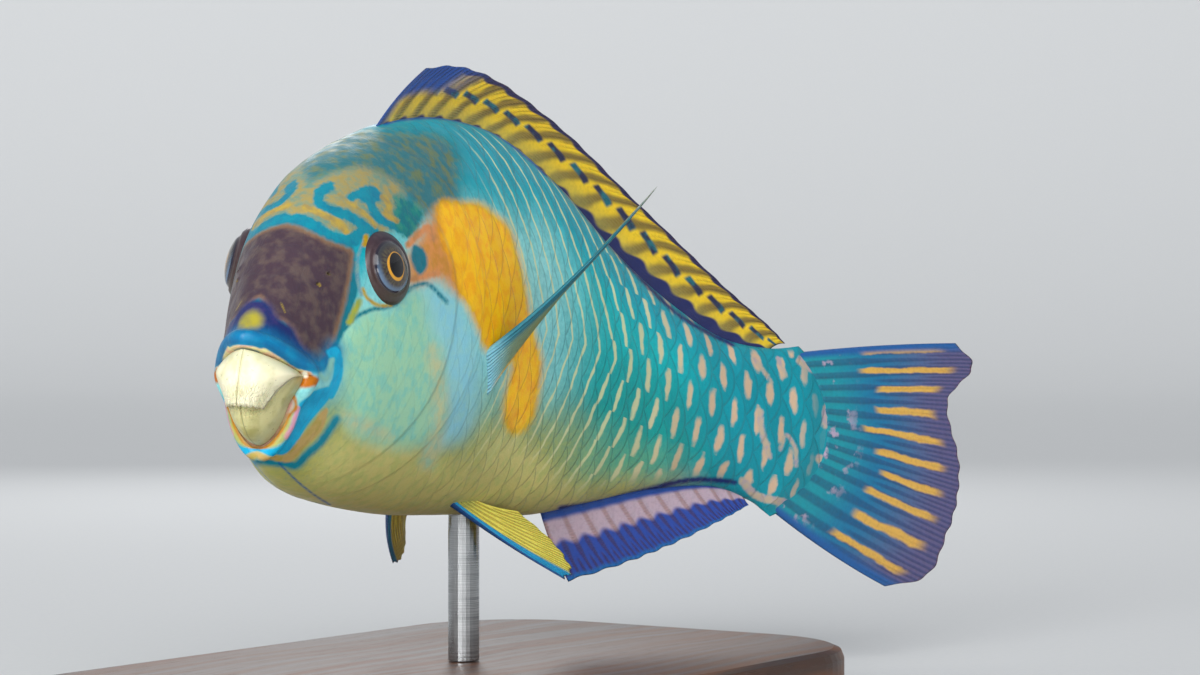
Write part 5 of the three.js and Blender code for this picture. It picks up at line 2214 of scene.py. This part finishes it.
@dataclass
class Studio:
    """A plain pale floor that curves up far behind, and soft lights. Sizes are in metres.

    A lamp is its name, its azimuth in degrees, its height above the fish, how far away it stands, how wide
    it is, and its power in watts.
    """

    paper: bpy.types.Material
    floor_radius: float = 3.0
    wall_height: float = 1.6
    wall_steps: int = 10
    start_radius: float = 0.5
    corners: int = 96
    surround: float = 0.5
    sky: tuple = (0.92, 0.95, 1.0, 1)
    broad: float = 1.9
    broad_tilt: float = math.radians(62)
    broad_turn: float = math.radians(12)
    broad_angle: float = math.radians(50)
    lamps: tuple = (
        ("key_light", -78.0, 0.22, 0.8, 0.4, 4.5),
        ("low_fill_light", -40.0, -0.02, 0.9, 0.3, 1.0),
        ("rim_light", 130.0, 0.5, 1.0, 0.5, 2.0),
    )

    def floor(self) -> None:
        """Spin the floor's profile into a wide shallow bowl."""
        deselect_all()
        bpy.ops.mesh.primitive_circle_add(vertices=self.corners, radius=self.start_radius, fill_type="TRIFAN")
        floor = bpy.context.active_object
        floor.name = "floor"
        bpy.ops.object.mode_set(mode="EDIT")
        bpy.ops.mesh.select_mode(type="EDGE")
        bpy.ops.mesh.select_all(action="SELECT")
        bpy.ops.mesh.region_to_loop()
        bpy.ops.mesh.extrude_region_move()
        scale = self.floor_radius / self.start_radius
        bpy.ops.transform.resize(value=(scale, scale, 1))
        for k in range(self.wall_steps):
            turn = (k + 1) / self.wall_steps * math.pi / 2
            before = k / self.wall_steps * math.pi / 2
            radius = self.floor_radius + self.wall_height * math.sin(turn)
            last = self.floor_radius + self.wall_height * math.sin(before)
            lift = self.wall_height * (math.cos(before) - math.cos(turn))
            bpy.ops.mesh.extrude_region_move(TRANSFORM_OT_translate={"value": (0, 0, lift)})
            bpy.ops.transform.resize(value=(radius / last, radius / last, 1))
        bpy.ops.mesh.select_all(action="SELECT")
        bpy.ops.mesh.normals_make_consistent(inside=True)
        bpy.ops.object.mode_set(mode="OBJECT")
        bpy.ops.object.shade_smooth()
        set_material(floor, self.paper)

    def lights(self) -> None:
        """Set a large key light by the camera, a fill and a rim light, and a pale surround."""
        world = bpy.data.worlds.new("studio_surround")
        bpy.context.scene.world = world
        world.use_nodes = True
        backdrop = world.node_tree.nodes["Background"]
        backdrop.inputs["Color"].default_value = self.sky
        backdrop.inputs["Strength"].default_value = self.surround
        deselect_all()
        way = (self.broad_tilt, 0, self.broad_turn - CAMERA_TURN)
        bpy.ops.object.light_add(type="SUN", rotation=way)
        sun = bpy.context.active_object
        sun.name = "broad_soft_light"
        sun.data.energy = self.broad
        sun.data.angle = self.broad_angle
        aim = PIVOT * MM
        for name, azimuth, height, away, size, power in self.lamps:
            deselect_all()
            turn = math.radians(azimuth)
            spot = aim + np.array([away * math.sin(turn), -away * math.cos(turn), height])
            bpy.ops.object.light_add(type="AREA", location=tuple(spot))
            light = bpy.context.active_object
            light.name = name
            light.data.shape = "DISK"
            light.data.size = size
            light.data.energy = power
            way = unit(aim - spot)
            light.rotation_euler = (math.acos(-way[2]), 0, math.atan2(way[1], way[0]) - math.pi / 2)

    def build(self) -> None:
        """Set up the floor and the lights, with colours shown as they are."""
        bpy.context.scene.view_settings.view_transform = "Standard"
        self.floor()
        self.lights()


FINS = (
    (Fin("dorsal_fin_blade", "dorsal_fin", DORSAL_KEYS, 19, ridge="back"), FinPattern.DORSAL),
    (Fin("anal_fin_blade", "anal_fin", ANAL_KEYS, 12, ridge="belly"), FinPattern.ANAL),
    (Fin("tail_fin_blade", "tail_fin", TAIL_KEYS, 15, root_thick=2.8, notch=0.012, rows=60), FinPattern.TAIL),
    (
        Fin("left_pectoral_blade", "left_pectoral_fin", LEFT_PECTORAL_KEYS, 14, root_thick=2.0),
        FinPattern.PECTORAL,
    ),
    (
        Fin("right_pectoral_blade", "right_pectoral_fin", RIGHT_PECTORAL_KEYS, 14, root_thick=2.0),
        FinPattern.PECTORAL,
    ),
    (Fin("left_pelvic_blade", "left_pelvic_fin", LEFT_PELVIC_KEYS, 7, root_thick=1.8), FinPattern.PELVIC),
    (Fin("right_pelvic_blade", "right_pelvic_fin", RIGHT_PELVIC_KEYS, 7, root_thick=1.8), FinPattern.PELVIC),
)


def main() -> None:
    """Build the fish's pieces in order, then the studio."""
    logging.basicConfig(level=logging.INFO, format="%(message)s")
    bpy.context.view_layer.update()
    PHOTO.build()
    effects = Effects()
    skin = Skin().build()
    set_material(skin, SkinFinish(effects).build())
    finish_piece(skin, "scaly_skin", "head", "trunk", "tail_stem")
    membranes = {pattern: FinFinish(pattern, effects).build() for pattern in FinPattern}
    for fin, pattern in FINS:
        piece = fin.build()
        set_material(piece, membranes[pattern])
        finish_piece(piece, "fin_membrane", fin.node)
    eye_surface = EyeFinish(effects).build()
    for side, node in ((Side.LEFT, "left_eye"), (Side.RIGHT, "right_eye")):
        piece = Eye(side).build()
        set_material(piece, eye_surface)
        finish_piece(piece, "eye", node)
    for plate, node in ((BeakPlate(True, 1.7), "upper_beak"), (BeakPlate(False, 3.9), "lower_beak")):
        piece = plate.build()
        set_material(piece, BeakFinish(effects, plate.upper).build())
        finish_piece(piece, "beak_enamel", node)
    set_material(bpy.data.objects["stand_base"], WoodFinish().build())
    set_material(bpy.data.objects["stand_rod"], SteelFinish().build())
    Studio(PaperFinish().build()).build()


if __name__ == "__main__":
    main()
